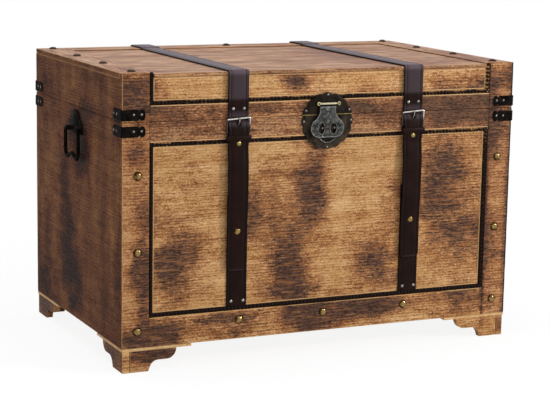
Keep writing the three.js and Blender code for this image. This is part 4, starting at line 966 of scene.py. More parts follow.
# %% [markdown]
# ## Repeated things with Geometry Nodes
#
# Nails, rivets and screws are one head, set again and again on points that know which way they face.
# One node tree does that for all of them: it takes the head and the finish as inputs, turns each head
# by a random amount from a fixed seed, and makes the copies real.

# %% Heads on points
def new_tree(name, inputs):
    """A tree for a modifier, with the outputs of its input node."""
    tree = bpy.data.node_groups.new(name, "GeometryNodeTree")
    tree.is_modifier = True
    for label, kind in inputs:
        tree.interface.new_socket(label, in_out="INPUT", socket_type="NodeSocket" + kind)
    tree.interface.new_socket("Geometry", in_out="OUTPUT", socket_type="NodeSocketGeometry")
    return tree, tree.nodes.new("NodeGroupInput").outputs


def end_tree(tree, copies, finish):
    """Makes the copies real and gives them their finish."""
    real = add_node(tree, "GeometryNodeRealizeInstances", (copies,))
    smooth = add_node(tree, "GeometryNodeSetShadeSmooth", (real,))
    finished = add_node(tree, "GeometryNodeSetMaterial", {"Geometry": smooth, "Material": finish})
    add_node(tree, "NodeGroupOutput", (finished,))
    return tree


def make_heads_tree():
    tree, given = new_tree("heads_on_points", (
        ("Points", "Geometry"), ("Head", "Object"), ("Seed", "Int"), ("Finish", "Material")))
    way = add_node(tree, "GeometryNodeInputNamedAttribute", {"Name": "facing"}, data_type="FLOAT_VECTOR")
    stood = add_node(tree, "FunctionNodeAlignRotationToVector", {"Vector": way}, axis="Z")
    angle = add_node(tree, "FunctionNodeRandomValue", {2: 0.0, 3: 2 * math.pi, "Seed": given["Seed"]}, 1,
                     data_type="FLOAT")
    twist = add_node(tree, "FunctionNodeAxisAngleToRotation", {"Axis": TO_TOP, "Angle": angle})
    turned = add_node(tree, "FunctionNodeRotateRotation", {"Rotation": stood, "Rotate By": twist},
                      rotation_space="LOCAL")
    head = add_node(tree, "GeometryNodeObjectInfo", {"Object": given["Head"]}, "Geometry")
    copies = add_node(tree, "GeometryNodeInstanceOnPoints", {
        "Points": given["Points"], "Instance": head, "Rotation": turned})
    return end_tree(tree, copies, given["Finish"])


def run_tree(name, mesh, tree, values):
    """Runs a tree on a mesh and gives the result as a plain mesh."""
    holder = bpy.data.objects.new(name, mesh)
    scene.collection.objects.link(holder)
    modifier = holder.modifiers.new("nodes", "NODES")
    modifier.node_group = tree
    for item in tree.interface.items_tree:
        if item.in_out == "INPUT" and item.name in values:
            modifier[item.identifier] = values[item.name]
    made = take_mesh(holder)
    made.name = name
    return made


heads_tree = make_heads_tree()


def set_heads(name, profile, places, finish, body, slot, sides=20, seed=1):
    """One piece of heads of a turned profile, one on each (point, direction)."""
    head_mesh = mesh_of("head", *skin(spin(profile, sides), cap=False))
    tall = max(height for _, height in profile) * MM
    # Painted light on each head: painted shade at its rim and a painted highlight on its top
    give_values(head_mesh, crown=[0.45 * max(0.0, v.co.z / tall) ** 1.5 - 0.3 for v in head_mesh.vertices])
    head = bpy.data.objects.new("head", head_mesh)
    scene.collection.objects.link(head)
    spots = bpy.data.meshes.new("spots")
    spots.from_pydata([p for p, _ in places], [], [])
    ways = spots.attributes.new("facing", "FLOAT_VECTOR", "POINT")
    ways.data.foreach_set("vector", [c for _, way in places for c in way])
    made = run_tree(name, spots, heads_tree, {"Head": head, "Seed": seed, "Finish": finish})
    bpy.data.objects.remove(head)
    add_piece(name, made, finish, body, slot)
    print(f"{name}: {len(places)} heads, {len(made.polygons)} faces")


# %% Dome nails
# The nails' places are measured in the photograph
stile_nail_x, stile_nail_z = half_width - 28, (72, 208.9, 340)
rail_nail_x, rail_nail_z = (-163, 0, 163), 77
lid_nail_inset, lid_nail_first, lid_nail_step = 27, 30, 142
dome = [(0, -0.8), (7.2, -0.8), (7.7, -0.2), (7.75, 0.5), (7.3, 0.9), (6.9, 1.5), (5.9, 2.5), (4.4, 3.35),
        (2.6, 3.85), (1.2, 4.0), (0, 4.0)]
front_nails = [(at(sign * stile_nail_x, 0, z), TO_FRONT) for _, sign in SIDES for z in stile_nail_z]
front_nails += [(at(x, 0, rail_nail_z), TO_FRONT) for x in rail_nail_x]
set_heads("front_dome_nails", dome, front_nails, brass, "body", "front_wood", sides=28)
lid_nails = [(at(sign * (half_width - lid_nail_inset), lid_nail_first + lid_nail_step * i, lid_top), TO_TOP)
             for _, sign in SIDES for i in range(4)]
lid_nails.append((at(0, depth - lid_nail_inset, lid_top), TO_TOP))
set_heads("lid_dome_nails", dome, lid_nails, brass_painted_shade, "lid", "top_wood", sides=28, seed=2)

# %% [markdown]
# ## Rope moulding
#
# The moulding is a strip with a row of leaning beads, like a rope. A second tree lays the beads at an
# even pitch along a path of straight lines, with the sizes as its inputs.

# %% Rope moulding
def make_rope_tree():
    sizes = ("Pitch", "Length", "Width", "Height", "Lean")
    tree, given = new_tree("rope_of_beads", (
        ("Path", "Geometry"), *((size, "Float") for size in sizes), ("Finish", "Material")))
    curve = add_node(tree, "GeometryNodeMeshToCurve", (given["Path"],))
    spots = add_node(tree, "GeometryNodeCurveToPoints", {"Curve": curve, "Length": given["Pitch"]}, mode="LENGTH")
    tangent = spots.node.outputs["Tangent"]
    along = add_node(tree, "FunctionNodeAlignRotationToVector", {"Vector": tangent}, axis="X")
    out = add_node(tree, "FunctionNodeAlignRotationToVector", {"Rotation": along, "Vector": TO_FRONT}, axis="Z",
                   pivot_axis="X")
    lean = add_node(tree, "FunctionNodeAxisAngleToRotation", {"Axis": TO_TOP, "Angle": given["Lean"]})
    turned = add_node(tree, "FunctionNodeRotateRotation", {"Rotation": out, "Rotate By": lean},
                      rotation_space="LOCAL")
    bead = add_node(tree, "GeometryNodeMeshUVSphere", {"Segments": 10, "Rings": 5, "Radius": 0.5}, "Mesh")
    size = add_node(tree, "CombineXYZ", (given["Length"], given["Width"], given["Height"]))
    copies = add_node(tree, "GeometryNodeInstanceOnPoints", {
        "Points": spots, "Instance": bead, "Rotation": turned, "Scale": size})
    return end_tree(tree, copies, given["Finish"])


rope_tree = make_rope_tree()
panel_y, run_on = 4.0, 3  # the panel's face, and how far a row of beads runs on past its corner
half_rope = rope_wide / 2


def lay_rope(name, lines, body, node):
    """Beads along straight lines on the panels. Each line is its two ends in x and z."""
    path = bpy.data.meshes.new("path")
    ends = [at(x, panel_y - 1.2, z) for line in lines for x, z in line]
    path.from_pydata(ends, [(2 * i, 2 * i + 1) for i in range(len(lines))], [])
    made = run_tree(name, path, rope_tree, {
        "Pitch": 7.0 * MM, "Length": 7.5 * MM, "Width": 7.6 * MM, "Height": 4.6 * MM, "Lean": math.radians(-14),
        "Finish": rope_finish})
    add_piece(name, made, rope_finish, body, "moulding", node)
    for i, ((x0, z0), (x1, z1)) in enumerate(lines):
        wide, tall = half_rope * (x0 == x1), half_rope * (z0 == z1)
        strip = board(f"{name}_strip_{i}", (min(x0, x1) - wide, panel_y - 1.4, min(z0, z1) - tall),
                      (max(x0, x1) + wide, panel_y - 0.1, max(z0, z1) + tall), round_mm=0.4, cell=20, chips=0)
        add_piece(f"{name}_strip_{i}", strip, ground_finish, body, "moulding")
    print(f"{name}: {len(made.polygons)} faces")


low, high = node_box("body_rope_moulding")
across = high[0] - half_rope
rope_low, rope_high = low[2] + half_rope, high[2] - half_rope
reach = across + run_on
lay_rope("body_rope", [
    ((-reach, rope_high), (reach, rope_high)), ((-across, rope_low - run_on), (-across, rope_high + run_on)),
    ((across, rope_low - run_on), (across, rope_high + run_on)), ((-reach, rope_low), (reach, rope_low)),
], "body", "body_rope_moulding")
low, high = node_box("lid_rope_moulding")
rope_low, rope_high = low[2] + half_rope, high[2] - 0.4
lay_rope("lid_rope", [((-reach, rope_low), (reach, rope_low))] + [
    ((x, rope_low - run_on), (x, rope_high)) for x in (-across, across)], "lid", "lid_rope_moulding")

# %% [markdown]
# ## Corner straps
#
# A corner strap is a piece of black iron bent round the corner. It has two round notches near each
# end, and the end itself is a shallow curve, like an axe's edge. It is one strip whose height
# changes along its length, so it can be skinned from rings that stand across it.

# %% Corner straps
iron_high, iron_leaf, notch_at, notch_round, end_bulge = 18.6, 41.0, 31.0, 2.6, 4.0
iron_near, iron_thick = 0.3, 1.3  # the gap to the wood, and the iron's thickness


def corner_height(reach):
    """Half the strap's height at a distance from the corner."""
    half = iron_high / 2
    far = abs(reach - notch_at)
    if far < notch_round:
        return half - math.sqrt(notch_round ** 2 - far ** 2)
    if reach > iron_leaf - end_bulge:
        share = min(1.0, (reach - iron_leaf + end_bulge) / end_bulge)
        return half * math.sqrt(max(0.0, 1 - share ** 2)) * 0.999 + 0.01
    return half


def corner_strap(name, sign, at_front, body):
    """Bends one strap round a corner and gives the places of its four nails."""
    middle_z = node_box(name)[0][2] + iron_high / 2
    notch = (notch_at - notch_round, notch_at + notch_round)
    bulge = iron_leaf - end_bulge
    stops = sorted({*np.linspace(0, notch[0], 7), *np.linspace(*notch, 9), notch[1] + 0.4, bulge,
                    *(bulge + end_bulge * math.sin(math.pi / 2 * i / 8) for i in range(1, 9))})
    edge_y, out_y = (0, -1) if at_front else (depth, 1)

    def ring(x, y, out, reach):
        half = corner_height(reach)
        soft = min(0.4, half / 2)
        rows = [(-half, 0), (-half, iron_thick - soft), (-half + soft, iron_thick)]
        rows += [(-z, t) for z, t in reversed(rows)]
        return [at(x + out[0] * (iron_near + t), y + out[1] * (iron_near + t), middle_z + z) for z, t in rows]

    rings = [ring(sign * (half_width - reach), edge_y, (0, out_y), reach) for reach in reversed(stops)]
    rings += [ring(sign * half_width, edge_y, (sign * math.sin(a), out_y * math.cos(a)), 0)
              for a in (math.pi / 2 * i / 6 for i in range(1, 6))]
    rings += [ring(sign * half_width, edge_y - out_y * reach, (sign, 0), reach) for reach in stops]
    add_piece(name + "_iron", skin(rings), iron, body, "black_iron", name, smooth=35)
    face = iron_near + iron_thick
    return [spot for reach in (20, 34) for spot in (
        (at(sign * (half_width - reach), edge_y + out_y * face, middle_z + 0.8), (0, out_y, 0)),
        (at(sign * (half_width + face), edge_y - out_y * reach, middle_z + 0.8), (sign, 0, 0)))]


small_nail = [(0, -0.4), (2.4, -0.4), (2.6, 0.1), (2.3, 0.7), (1.5, 1.2), (0.6, 1.4), (0, 1.4)]
corner_nails = {"body": [], "lid": []}
for side, sign in SIDES:
    for end in ("front", "back"):
        for body in ("lid", "body"):
            corner_nails[body] += corner_strap(f"{body}_{end}_{side}_corner_strap", sign, end == "front", body)
for body, places in corner_nails.items():
    set_heads(f"{body}_corner_nails", small_nail, places, dark_pin, body, "black_iron", sides=14, seed=3)

# %% [markdown]
# ## Leather straps
#
# On the real chest each strap is one length of harness leather, nailed at the lid's back edge and just
# above the buckle. The strap is a rectangle with creased, burnished edges, pushed along a path: up the
# back, over the top, down the front, over the buckle's hidden bar and down to its clipped end.

# %% Strap paths
bend_z, strap_thick, strap_wide = parting + 10.1, 2.8, 38.0
strap_inset = 209.7  # from the box's end to a strap's middle
back_end, tail_end = 445.5, 166.0  # z of the leather's ends, on the back and in front
step_to, step_from = 415.7, 421.7  # y where it comes down off the lid's back rail on to the panel
tail_corners = [(-0.3, bend_z - 13.6), (-3.9, bend_z - 32), (-3.9, bend_z - 49), (-1.2, bend_z - 61),
                (-4.6, bend_z - 90), (-4.6, bend_z - 150), (-1.5, bend_z - 200)]
strap_corners = [(depth + 0.3, back_end), (depth + 0.3, lid_top + 0.3), (step_from, lid_top + 0.3),
                 (step_to, panel_top + 0.3), (-0.3, panel_top + 0.3), *tail_corners, (-1.5, tail_end)]
strap_radii = [0, 2.2, 3, 3, 2.4, 9, 7, 7, 9, 22, 22, 22, 0]


def rounded(corners, radii, step):
    """A path of (y, z) points through corners, each turned with its own radius, with even steps."""
    points = [Vector(corners[0])]
    for i in range(1, len(corners) - 1):
        here = Vector(corners[i])
        before, after = Vector(corners[i - 1]) - here, Vector(corners[i + 1]) - here
        cut = min(radii[i], before.length * 0.45, after.length * 0.45)
        a, b = here + before.normalized() * cut, here + after.normalized() * cut
        points += [a * (1 - t) ** 2 + here * 2 * t * (1 - t) + b * t ** 2 for t in (j / 6 for j in range(7))]
    path = [points[0]]
    for point in points[1:] + [Vector(corners[-1])]:
        start = path[-1]
        pieces = max(1, int((point - start).length / step))
        path += [start.lerp(point, (k + 1) / pieces) for k in range(pieces)]
    return path


strap_path = rounded(strap_corners, strap_radii, 5.0)
# The clipped end needs closer steps
strap_path = strap_path[:-1] + [Vector((-1.5, tail_end + up)) for up in (6.0, 4.5, 3.0, 1.6, 0.6, 0.0)
                                if tail_end + up < strap_path[-2].y]
print("The strap's path has", len(strap_path), "points")

# %% Leather laid on a path
def leather_section(half, thick):
    """The strap's cross-section from its back, round its creased face, with an edge value for each point."""
    face = [(half, 0.5, 1), (half, thick - 0.7, 1), (half - 0.35, thick - 0.25, 0.9), (half - 1.0, thick, 0.5),
            (half - 2.0, thick + 0.05, 0.1), (half - 4.4, thick + 0.05, 0.1), (half - 4.9, thick - 0.3, 0.9),
            (half - 5.5, thick - 0.3, 0.9), (half - 6.0, thick + 0.05, 0.1), (half * 0.4, thick + 0.16, 0),
            (0, thick + 0.2, 0)]
    return [(half - 0.5, 0, 1)] + face + [(-s, t, e) for s, t, e in reversed(face[:-1])] + [(-half + 0.5, 0, 1)]


def rub_at(z):
    """How much painted sheen the leather gets: all over the lid, the most on top, and over the buckle."""
    lid_sheen = 0.38 * min(1.0, max(0.0, (z - 461.5) / 2.5)) + 0.55 * min(1.0, max(0.0, (z - 507) / 2))
    # Painted highlights at the bend, over the buckle's bar and at the tip
    return max(lid_sheen, *(much * math.exp(-((z - middle) / wide) ** 2)
                           for much, middle, wide in ((0.6, 437.5, 3.2), (0.45, 422, 4.0), (0.2, 166.5, 1.5))))


def lay_leather(name, middle_x, path, half, thick, width_at=None):
    """Leather on a path of (y, z) points of its back face. It is on the right of the path."""
    rings, edges = [], []
    travelled = 0.0
    for i, point in enumerate(path):
        before, after = path[max(0, i - 1)], path[min(len(path) - 1, i + 1)]
        way = (after - before).normalized()
        out = Vector((way.y, -way.x))
        travelled += (point - before).length
        share = width_at(point) if width_at else 1.0
        wave = 0.25 * noise.noise(Vector((middle_x * 0.1, travelled * 0.035, 1.7)))
        lift = 0.12 * noise.noise(Vector((middle_x * 0.1, travelled * 0.06, 5.1)))
        ring = []
        for s, t, e in leather_section(half, thick):
            spot = point + out * (t + (lift if t > 1 else 0))
            ring.append(at(middle_x + s * share + wave, spot.x, spot.y))
            edges.append(e)
        rings.append(ring)
    points, faces = skin(rings)
    mesh = bpy.data.meshes.new(name)
    mesh.from_pydata(points, [], faces)
    give_values(mesh, edge=edges, rub=[rub_at(p.z / MM) for p in points])
    finish_mesh(mesh, 50)
    return mesh


# %% The tail's end and the slot for the prong
def tail_width(point):
    """The tail's end is clipped: it narrows over its last millimetres."""
    left = point.y - tail_end
    if point.x > 200 or left > 6:
        return 1.0
    return 0.74 + 0.26 * math.sin(math.pi / 2 * max(0.0, left) / 6)


def cut_slot(mesh, middle_x):
    """Cuts the prong's slot through the leather."""
    slot = [(-1.8, 418.4), (-1.2, 417.5), (0, 417.2), (1.2, 417.5), (1.8, 418.4), (1.8, 424.6), (1.2, 425.6),
            (0, 425.9), (-1.2, 425.6), (-1.8, 424.6)]
    cutter_mesh = mesh_of("slot", *skin([[at(middle_x + s, y, z) for s, z in slot] for y in (-14, 4)]))
    cutter = bpy.data.objects.new("slot", cutter_mesh)
    holder = bpy.data.objects.new("strap", mesh)
    for one in (cutter, holder):
        scene.collection.objects.link(one)
    cut = holder.modifiers.new("cut", "BOOLEAN")
    cut.operation, cut.object, cut.solver = "DIFFERENCE", cutter, "EXACT"
    made = take_mesh(holder)
    bpy.data.objects.remove(cutter)
    made.materials.clear()
    return made


# %% Straps and their nails
rivet = [(0, -0.5), (2.9, -0.5), (3.2, 0.1), (2.9, 0.9), (2.0, 1.6), (0.9, 1.9), (0, 1.95)]
snap_cap = [(0, -0.5), (6.2, -0.5), (6.6, 0.1), (6.5, 0.8), (5.9, 1.3), (5.3, 1.2), (4.8, 1.6), (3.6, 2.3),
            (1.9, 2.6), (0, 2.7)]
tail_rivet = [(0, -0.6), (4.2, -0.6), (4.5, 0.1), (4.2, 0.9), (3.1, 1.5), (1.5, 1.85), (0, 1.9)]
# The lower straps hang a little to the right, as in the photograph
for (side, sign), lower_shift in zip(SIDES, (2.4, 1.4)):
    x, flap = sign * (half_width - strap_inset), f"{side}_flap"
    lower_x = x + lower_shift
    leather_name = f"{side}_strap_leather"
    mesh = cut_slot(lay_leather(leather_name, x, strap_path, strap_wide / 2, strap_thick, tail_width), x)
    strap = add_piece(leather_name, mesh, harness, None, "leather", f"{side}_lid_strap", f"{side}_strap_tail")
    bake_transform(strap)
    lower_end, lower_start = (corner[2] for corner in node_box(f"{side}_lower_strap"))
    lower_path = rounded([(3.7, lower_start), (3.7, lower_end)], [0, 0], 6.0)
    mesh = lay_leather(f"{side}_lower_leather", lower_x, lower_path, 19.0, 2.35)
    add_piece(f"{side}_lower_leather", mesh, harness, "body", "leather", f"{side}_lower_strap")
    lid_rivets = [(at(x + k * 10, -3.1, bend_z + 7.4), TO_FRONT) for k in (-1, 1)]
    lid_rivets += [(at(x + k * 10, depth + 3.1, back_end + 8), TO_BACK) for k in (-1, 1)]
    lower_rivets = [(at(lower_x + 1.0 + k * 11.4, 1.25, lower_end + 8.6), TO_FRONT) for k in (-1, 1)]
    for name, head, places, finish, body, sides, seed in (
        ("lid_strap_nails", rivet, lid_rivets, steel_pin, "lid", 16, 5),
        ("lower_strap_nails", rivet, lower_rivets, steel_pin, "body", 16, 6),
        ("tail_rivet", tail_rivet, [(at(x, -5.55, bend_z - 52.8), TO_FRONT)], bright_brass, flap, 18, 7),
        ("snap_cap", snap_cap, [(at(x, -4.35, bend_z - 205.6), TO_FRONT)], brass, flap, 24, 8),
    ):
        set_heads(f"{side}_{name}", head, places, finish, body, "leather", sides, seed)
print("Straps laid")

# %% [markdown]
# ## Buckles
#
# The buckle is a frame of nickel-plated wire. Its outer bar lies on the strap, a little askew, and
# its other bar is hidden behind the strap. The prong comes out through the slot and lies over the
# outer bar. Below it a leather keeper goes round the strap.

# %% Buckle frames
def buckle_path(x):
    """The frame's middle line: two bars, joined by sides that lean back from the outer bar."""
    top, pivot, half, corner, skew = bend_z - 9.6, bend_z - 36.8, 21.25, 3.2, 0.066
    out_top, out_pivot = -4.9, -1.95
    points = []
    for u, z, before, after in (
        (-half, top - 1.4, (0, -1), (1, skew)), (half, top + 1.4, (-1, -skew), (0, -1)),
        (half, pivot, (0, 1), (-1, 0)), (-half, pivot, (1, 0), (0, 1)),
    ):
        a, b = ((u + way[0] * corner, z + way[1] * corner) for way in (before, after))
        points += arc(a, (u, z), b, 6)
    return [at(x + u, out_pivot + (out_top - out_pivot) * (z - pivot) / (top - pivot), z) for u, z in points]


# %% Keepers, and all in place
def keeper_rings(x):
    """Cross-sections of the leather loop, once round the strap, with a small round at each corner."""
    half, out_back, out_front, thick, corner_round = 22.8, 2.1, 8.5, 1.8, 1.3
    low, high, soft = bend_z - 48, bend_z - 39, 0.5
    turn = [(0, 1), (0.12, 0.5), (0.5, 0.12), (1, 0)]
    rings = []
    for in_u, in_o in ((1, 1), (-1, 1), (-1, -1), (1, -1)):
        for du, do in turn if in_u == in_o else reversed(turn):
            u = in_u * (du * corner_round - half)
            o = (out_back if in_o > 0 else out_front) + in_o * do * corner_round
            deep_u, deep_o = in_u * thick * (1 - du), in_o * thick * (1 - do)
            rings.append([at(x + u + deep_u * share, -o - deep_o * share, z) for share, z in (
                (0, low + soft), (0, high - soft), (0.3, high), (1, high), (1, low), (0.3, low))])
    return rings


for side, sign in SIDES:
    x, flap = sign * (half_width - strap_inset), f"{side}_flap"
    path = buckle_path(x)
    radii = [(1.5 if p.z / MM > bend_z - 14 else 1.3) * MM for p in path]
    mesh = mesh_of("frame", *skin(tube(path, radii, 14, closed=True), closed=True), 60)
    # The outer bar gets a painted highlight and the sides painted shade
    give_values(mesh, crown=[0.2 if v.co.z / MM > bend_z - 12 else -0.42 for v in mesh.vertices])
    add_piece(f"{side}_buckle_wire", mesh, nickel, flap, "nickel", f"{side}_buckle_frame")
    prong = smooth_path([at(x, y, z) for y, z in (
        (-1.5, 405.8), (-1.5, 414.2), (-3.9, 419.6), (-7.2, 424.2), (-8.5, 429.0), (-8.6, 433.2))], 8)
    radii = [(1.25 - 0.35 * i / len(prong)) * MM for i in range(len(prong))]
    add_piece(f"{side}_prong_wire", skin(tube(prong, radii)), nickel, flap, "nickel", f"{side}_buckle_prong",
              smooth=60)
    add_piece(f"{side}_keeper", skin(keeper_rings(x), closed=True), harness, flap, "leather", smooth=50)
print("Buckles and keepers made")

# %% [markdown]
# ## Latch
#
# The latch is a round plate of black japanned iron with a scalloped rim, cut in two where the lid
# opens. The upper half carries two eyes with a pin, on which the hasp hangs, and the lower half
# carries the raised disc and the two studs that the hasp's slots go over.

# %% Latch plates
plate_z, plate_round, boss_z, slot_u, slot_v = parting - 10.3, 50.3, parting - 29.5, 11.7, -22.7
pin_y, pin_z = -6.6, parting + 20.5


def latch_plate(name, upper, finish, body, node):
    """Turns the scalloped plate and keeps its half above or below the opening."""
    profile = [(0.02, 1.8), (0.4, 1.8), (0.74, 1.8), (0.765, 1.35), (0.79, 1.3), (0.815, 1.8), (0.9, 1.85),
               (0.955, 1.7), (0.985, 1.3), (1.0, 0.8), (1.0, 0.0), (0.02, 0.0)]
    scallops, deep, count = 16, 2.5, 16 * 8
    rings = []
    for share, height in profile:
        ring = []
        for k in range(count):
            angle = 2 * math.pi * k / count
            scallop = deep * (1 - abs(math.cos(angle * scallops / 2)))
            radius = (plate_round - scallop * min(1.0, max(0.0, (share - 0.5) * 2.2))) * share
            ring.append(at(radius * math.cos(angle), -0.3 - height, plate_z + radius * math.sin(angle)))
        rings.append(ring)
    mesh = mesh_of(name, *skin(rings, closed=True))
    work = bmesh.new()
    work.from_mesh(mesh)
    bmesh.ops.holes_fill(work, edges=[e for e in work.edges if e.is_boundary], sides=0)
    cut_z = (lid_low if upper else body_top) * MM
    bmesh.ops.bisect_plane(work, geom=work.verts[:] + work.edges[:] + work.faces[:], plane_co=(0, 0, cut_z),
                           plane_no=(0, 0, -1 if upper else 1), clear_outer=True)
    bmesh.ops.holes_fill(work, edges=[e for e in work.edges if e.is_boundary], sides=0)
    work.to_mesh(mesh)
    work.free()
    finish_mesh(mesh)
    add_piece(name, mesh, finish, body, "black_iron", node)


latch_plate("latch_upper_iron", True, latch_iron, "lid", "latch_upper_plate")
latch_plate("latch_lower_iron", False, latch_iron_painted_sheen, "body", "latch_lower_plate")
nail_round = plate_round - 4.2
for body, angles in (("lid", (24, 90, 156)), ("body", (180, 270, 360))):
    places = [(at(nail_round * math.cos(a), -2.1, plate_z + nail_round * math.sin(a)), TO_FRONT)
              for a in map(math.radians, angles)]
    set_heads(f"{body}_latch_nails", small_nail, places, dark_pin, body, "black_iron", sides=14, seed=9)

cut_edge = join([skin(tube([at(x, -1.3, lid_low + 0.5) for x in ends], 0.95 * MM, 10))
                 for ends in ((-48.2, -16.5), (16.5, 48.2))])
add_piece("latch_upper_edge", cut_edge, bright_brass, "lid", "black_iron")
boss = [(0, 0), (20, 0), (20, 1.1), (19.5, 1.5), (18.6, 1.6), (17.2, 1.2), (16.4, 1.2), (15.6, 1.6), (0, 1.6)]
mesh = mesh_of("boss", *skin(spin(boss, 56), cap=False))
mesh.transform(facing(TO_FRONT, at(0, -2.1, boss_z)))
add_piece("latch_boss", mesh, latch_iron, "body", "black_iron")
# A thin light ring on the disc's rim, a painted highlight
highlight_ring = [at(u, -3.6, boss_z + v) for u, v in circle(56, 18.9)]
add_piece("latch_boss_rim", skin(tube(highlight_ring, 0.5 * MM, 8, closed=True), closed=True), rubbed_relief_and_highlight, "body",
          "black_iron", smooth=60)
stud = [(0, 0), (2.0, 0), (2.0, 0.6), (1.7, 1.1), (1.0, 1.5), (0, 1.6)]
set_heads("latch_studs", stud, [(at(1.5 + k * slot_u, -3.7, parting + slot_v), TO_FRONT) for k in (-1, 1)],
          steel_pin, "body", "black_iron", sides=18, seed=10)

# %% Eyes and pin of the hasp
for side, sign in SIDES:
    eye = [at(sign * 19.7 + u, pin_y, pin_z + v) for u, v in circle(28, 2.3)]
    add_piece(f"hasp_eye_{side}", skin(tube(eye, 1.2 * MM, 10, closed=True), closed=True), eye_brass, "lid",
              "black_iron", smooth=60)
    neck = tube([at(sign * 19.7, y, pin_z) for y in (-1.6, -6.2)], 2.0 * MM, 14)
    add_piece(f"hasp_eye_neck_{side}", skin(neck), iron, "lid", "black_iron")
pin = tube([at(x, pin_y, pin_z) for x in (-18.5, 18.5)], 1.4 * MM, 14)
add_piece("hasp_pin", skin(pin), steel_pin, "lid", "black_iron")
print("Latch plates made")

# %% [markdown]
# ## Hasp
#
# The hasp is a gunmetal plate with two lobes and two upright slots, engraved with flowers and scrolls
# of a common kind. It is cut from an outline and hangs by a barrel on the pin.

# %% Hasp
def hasp_outline(inset=0.0):
    """The hasp's edge, millimetres across and up from the parting line."""
    lobe, spread, drop, neck, shoulder, top = 17 - inset, 16, 22.5, 16 - inset, -0.5, 16.1 - inset
    start = math.radians(58)
    lobe_top = (spread + lobe * math.cos(start), -drop + lobe * math.sin(start))
    right = [(neck, top)] + arc((neck, 2 * shoulder - lobe_top[1]), (neck, shoulder), lobe_top, 6)
    for i in range(1, 23):
        angle = start - (start + math.pi / 2) * i / 22
        right.append((spread + lobe * math.cos(angle), -drop + lobe * math.sin(angle)))
    return right + [(-u, v) for u, v in reversed(right)]


def slot_outline(middle_u, grow=0.0):
    """One of the hasp's two oval slots, or a line that much outside it."""
    return [(middle_u + (5.5 + grow) * c, slot_v + (9.5 + grow) * s) for c, s in circle(32)]


hasp_x = -2.4
plate = slab([hasp_outline(), slot_outline(-slot_u), slot_outline(slot_u)], 2.2, 0.35,
             plane(at(hasp_x, -5.6, parting), (1, 0, 0)))
add_piece("hasp_plate", plate, gunmetal, "hasp", "engraved_steel", "hasp")
barrel = [(0, -16), (1.7, -16), (2.0, -15.6), (2.1, -15), (2.1, 15), (2.0, 15.6), (1.7, 16), (0, 16)]
mesh = mesh_of("barrel", *skin(spin(barrel), cap=False))
mesh.transform(facing((1, 0, 0), at(hasp_x + 0.8, pin_y, pin_z)))
add_piece("hasp_barrel", mesh, barrel_metal, "hasp", "engraved_steel")
web = slab([[(-15.4, 15.4), (15.4, 15.4), (15.4, 19.6), (-15.4, 19.6)]], 1.2, 0.2,
           plane(at(hasp_x, -5.9, parting), (1, 0, 0)))
add_piece("hasp_web", web, iron, "hasp", "engraved_steel")
print("Hasp plate has", len(plate.polygons), "faces")

# %% [markdown]
# The engraving stands a little proud, so that it glints. A raised rim follows the hasp's edge and each
# slot, and small flowers and curls fill the plate between them.

# %% Flowers and scrolls on the hasp
def on_hasp(u, v, out=0.0):
    """A point on the hasp's face, across and up from its middle on the parting line."""
    return at(hasp_x + u, -7.8 - out, parting + v)


def curl(u, v, size, start, way):
    """A scroll that winds in from its outer end."""
    steps, turns = 22, 1.3
    path = []
    for share in (i / steps for i in range(steps + 1)):
        radius = size * (1 - 0.82 * share)
        angle = start + way * turns * 2 * math.pi * share
        path.append(on_hasp(u + radius * math.cos(angle), v + radius * math.sin(angle)))
    return skin(tube(path, [(0.42 - 0.2 * i / steps) * MM for i in range(steps + 1)], 6))


def petal(u, v, size, angle):
    """One petal from a flower's middle outwards."""
    rings = []
    for share, width in ((0, 0.12), (0.2, 0.5), (0.5, 0.8), (0.8, 0.6), (1, 0.1)):
        radius, half = size * (0.25 + 0.75 * share), size * 0.3 * width
        rings.append([on_hasp(u + radius * math.cos(angle) - half * c * math.sin(angle),
                              v + radius * math.sin(angle) + half * c * math.cos(angle), h)
                      for c, h in ((-1, -0.15), (-0.5, 0.3), (0.5, 0.3), (1, -0.15))])
    return skin(rings)


lines = []
for outline, radius, sides in ((hasp_outline(1.6), 0.65, 8), (slot_outline(-slot_u, 1.3), 0.4, 6),
                               (slot_outline(slot_u, 1.3), 0.4, 6)):
    lines.append(skin(tube([on_hasp(*p) for p in outline], radius * MM, sides, closed=True), closed=True))
for k in (-1, 1):
    for u, v, size, start in ((25.5, -12.5, 3.4, 0.4), (27.5, -22.5, 3.0, -0.6), (24, -32, 3.4, -1.6),
                              (10.5, 6.5, 3.4, 2.2), (6, -2.5, 2.8, 0.8), (9, -35.3, 2.2, 3.6)):
        lines.append(curl(k * u, v, size, start if k > 0 else math.pi - start, k))
# The flowers on the middle line, and those that stand in pairs
flowers = [(0, 12, 4.2, 7), (0, -10.5, 3.6, 6), (0, 2.5, 3.0, 6), (0, -29, 3.4, 6), (0, -19.5, 2.8, 5),
           (0, -36.5, 2.2, 5)]
flowers += [(k * u, v, size, petals) for u, v, size, petals in (
    (19.5, -9.5, 3.0, 6), (11, 13.5, 2.6, 5), (21.5, -23, 2.6, 5), (17.5, -35.4, 2.6, 5)) for k in (-1, 1)]
for u, v, size, petals in flowers:
    lines += [petal(u, v, size, 2 * math.pi * i / petals + 0.3) for i in range(petals)]
add_piece("hasp_engraving", join(lines), rubbed_relief_and_highlight, "hasp", "engraved_steel", smooth=50)
print("Hasp engraving has", len(lines), "lines and petals")

# %% [markdown]
# ## Handles
#
# A drop handle is a shaped plate with a swelling in its middle, two lugs, and a bail of forged rod
# whose pinned ends turn in the lugs. The bail's grip dips on each side and rises in the middle.

# %% Drop handles
pivot_z, pivot_out, arm = parting - 40.5, 8.6, 35.3


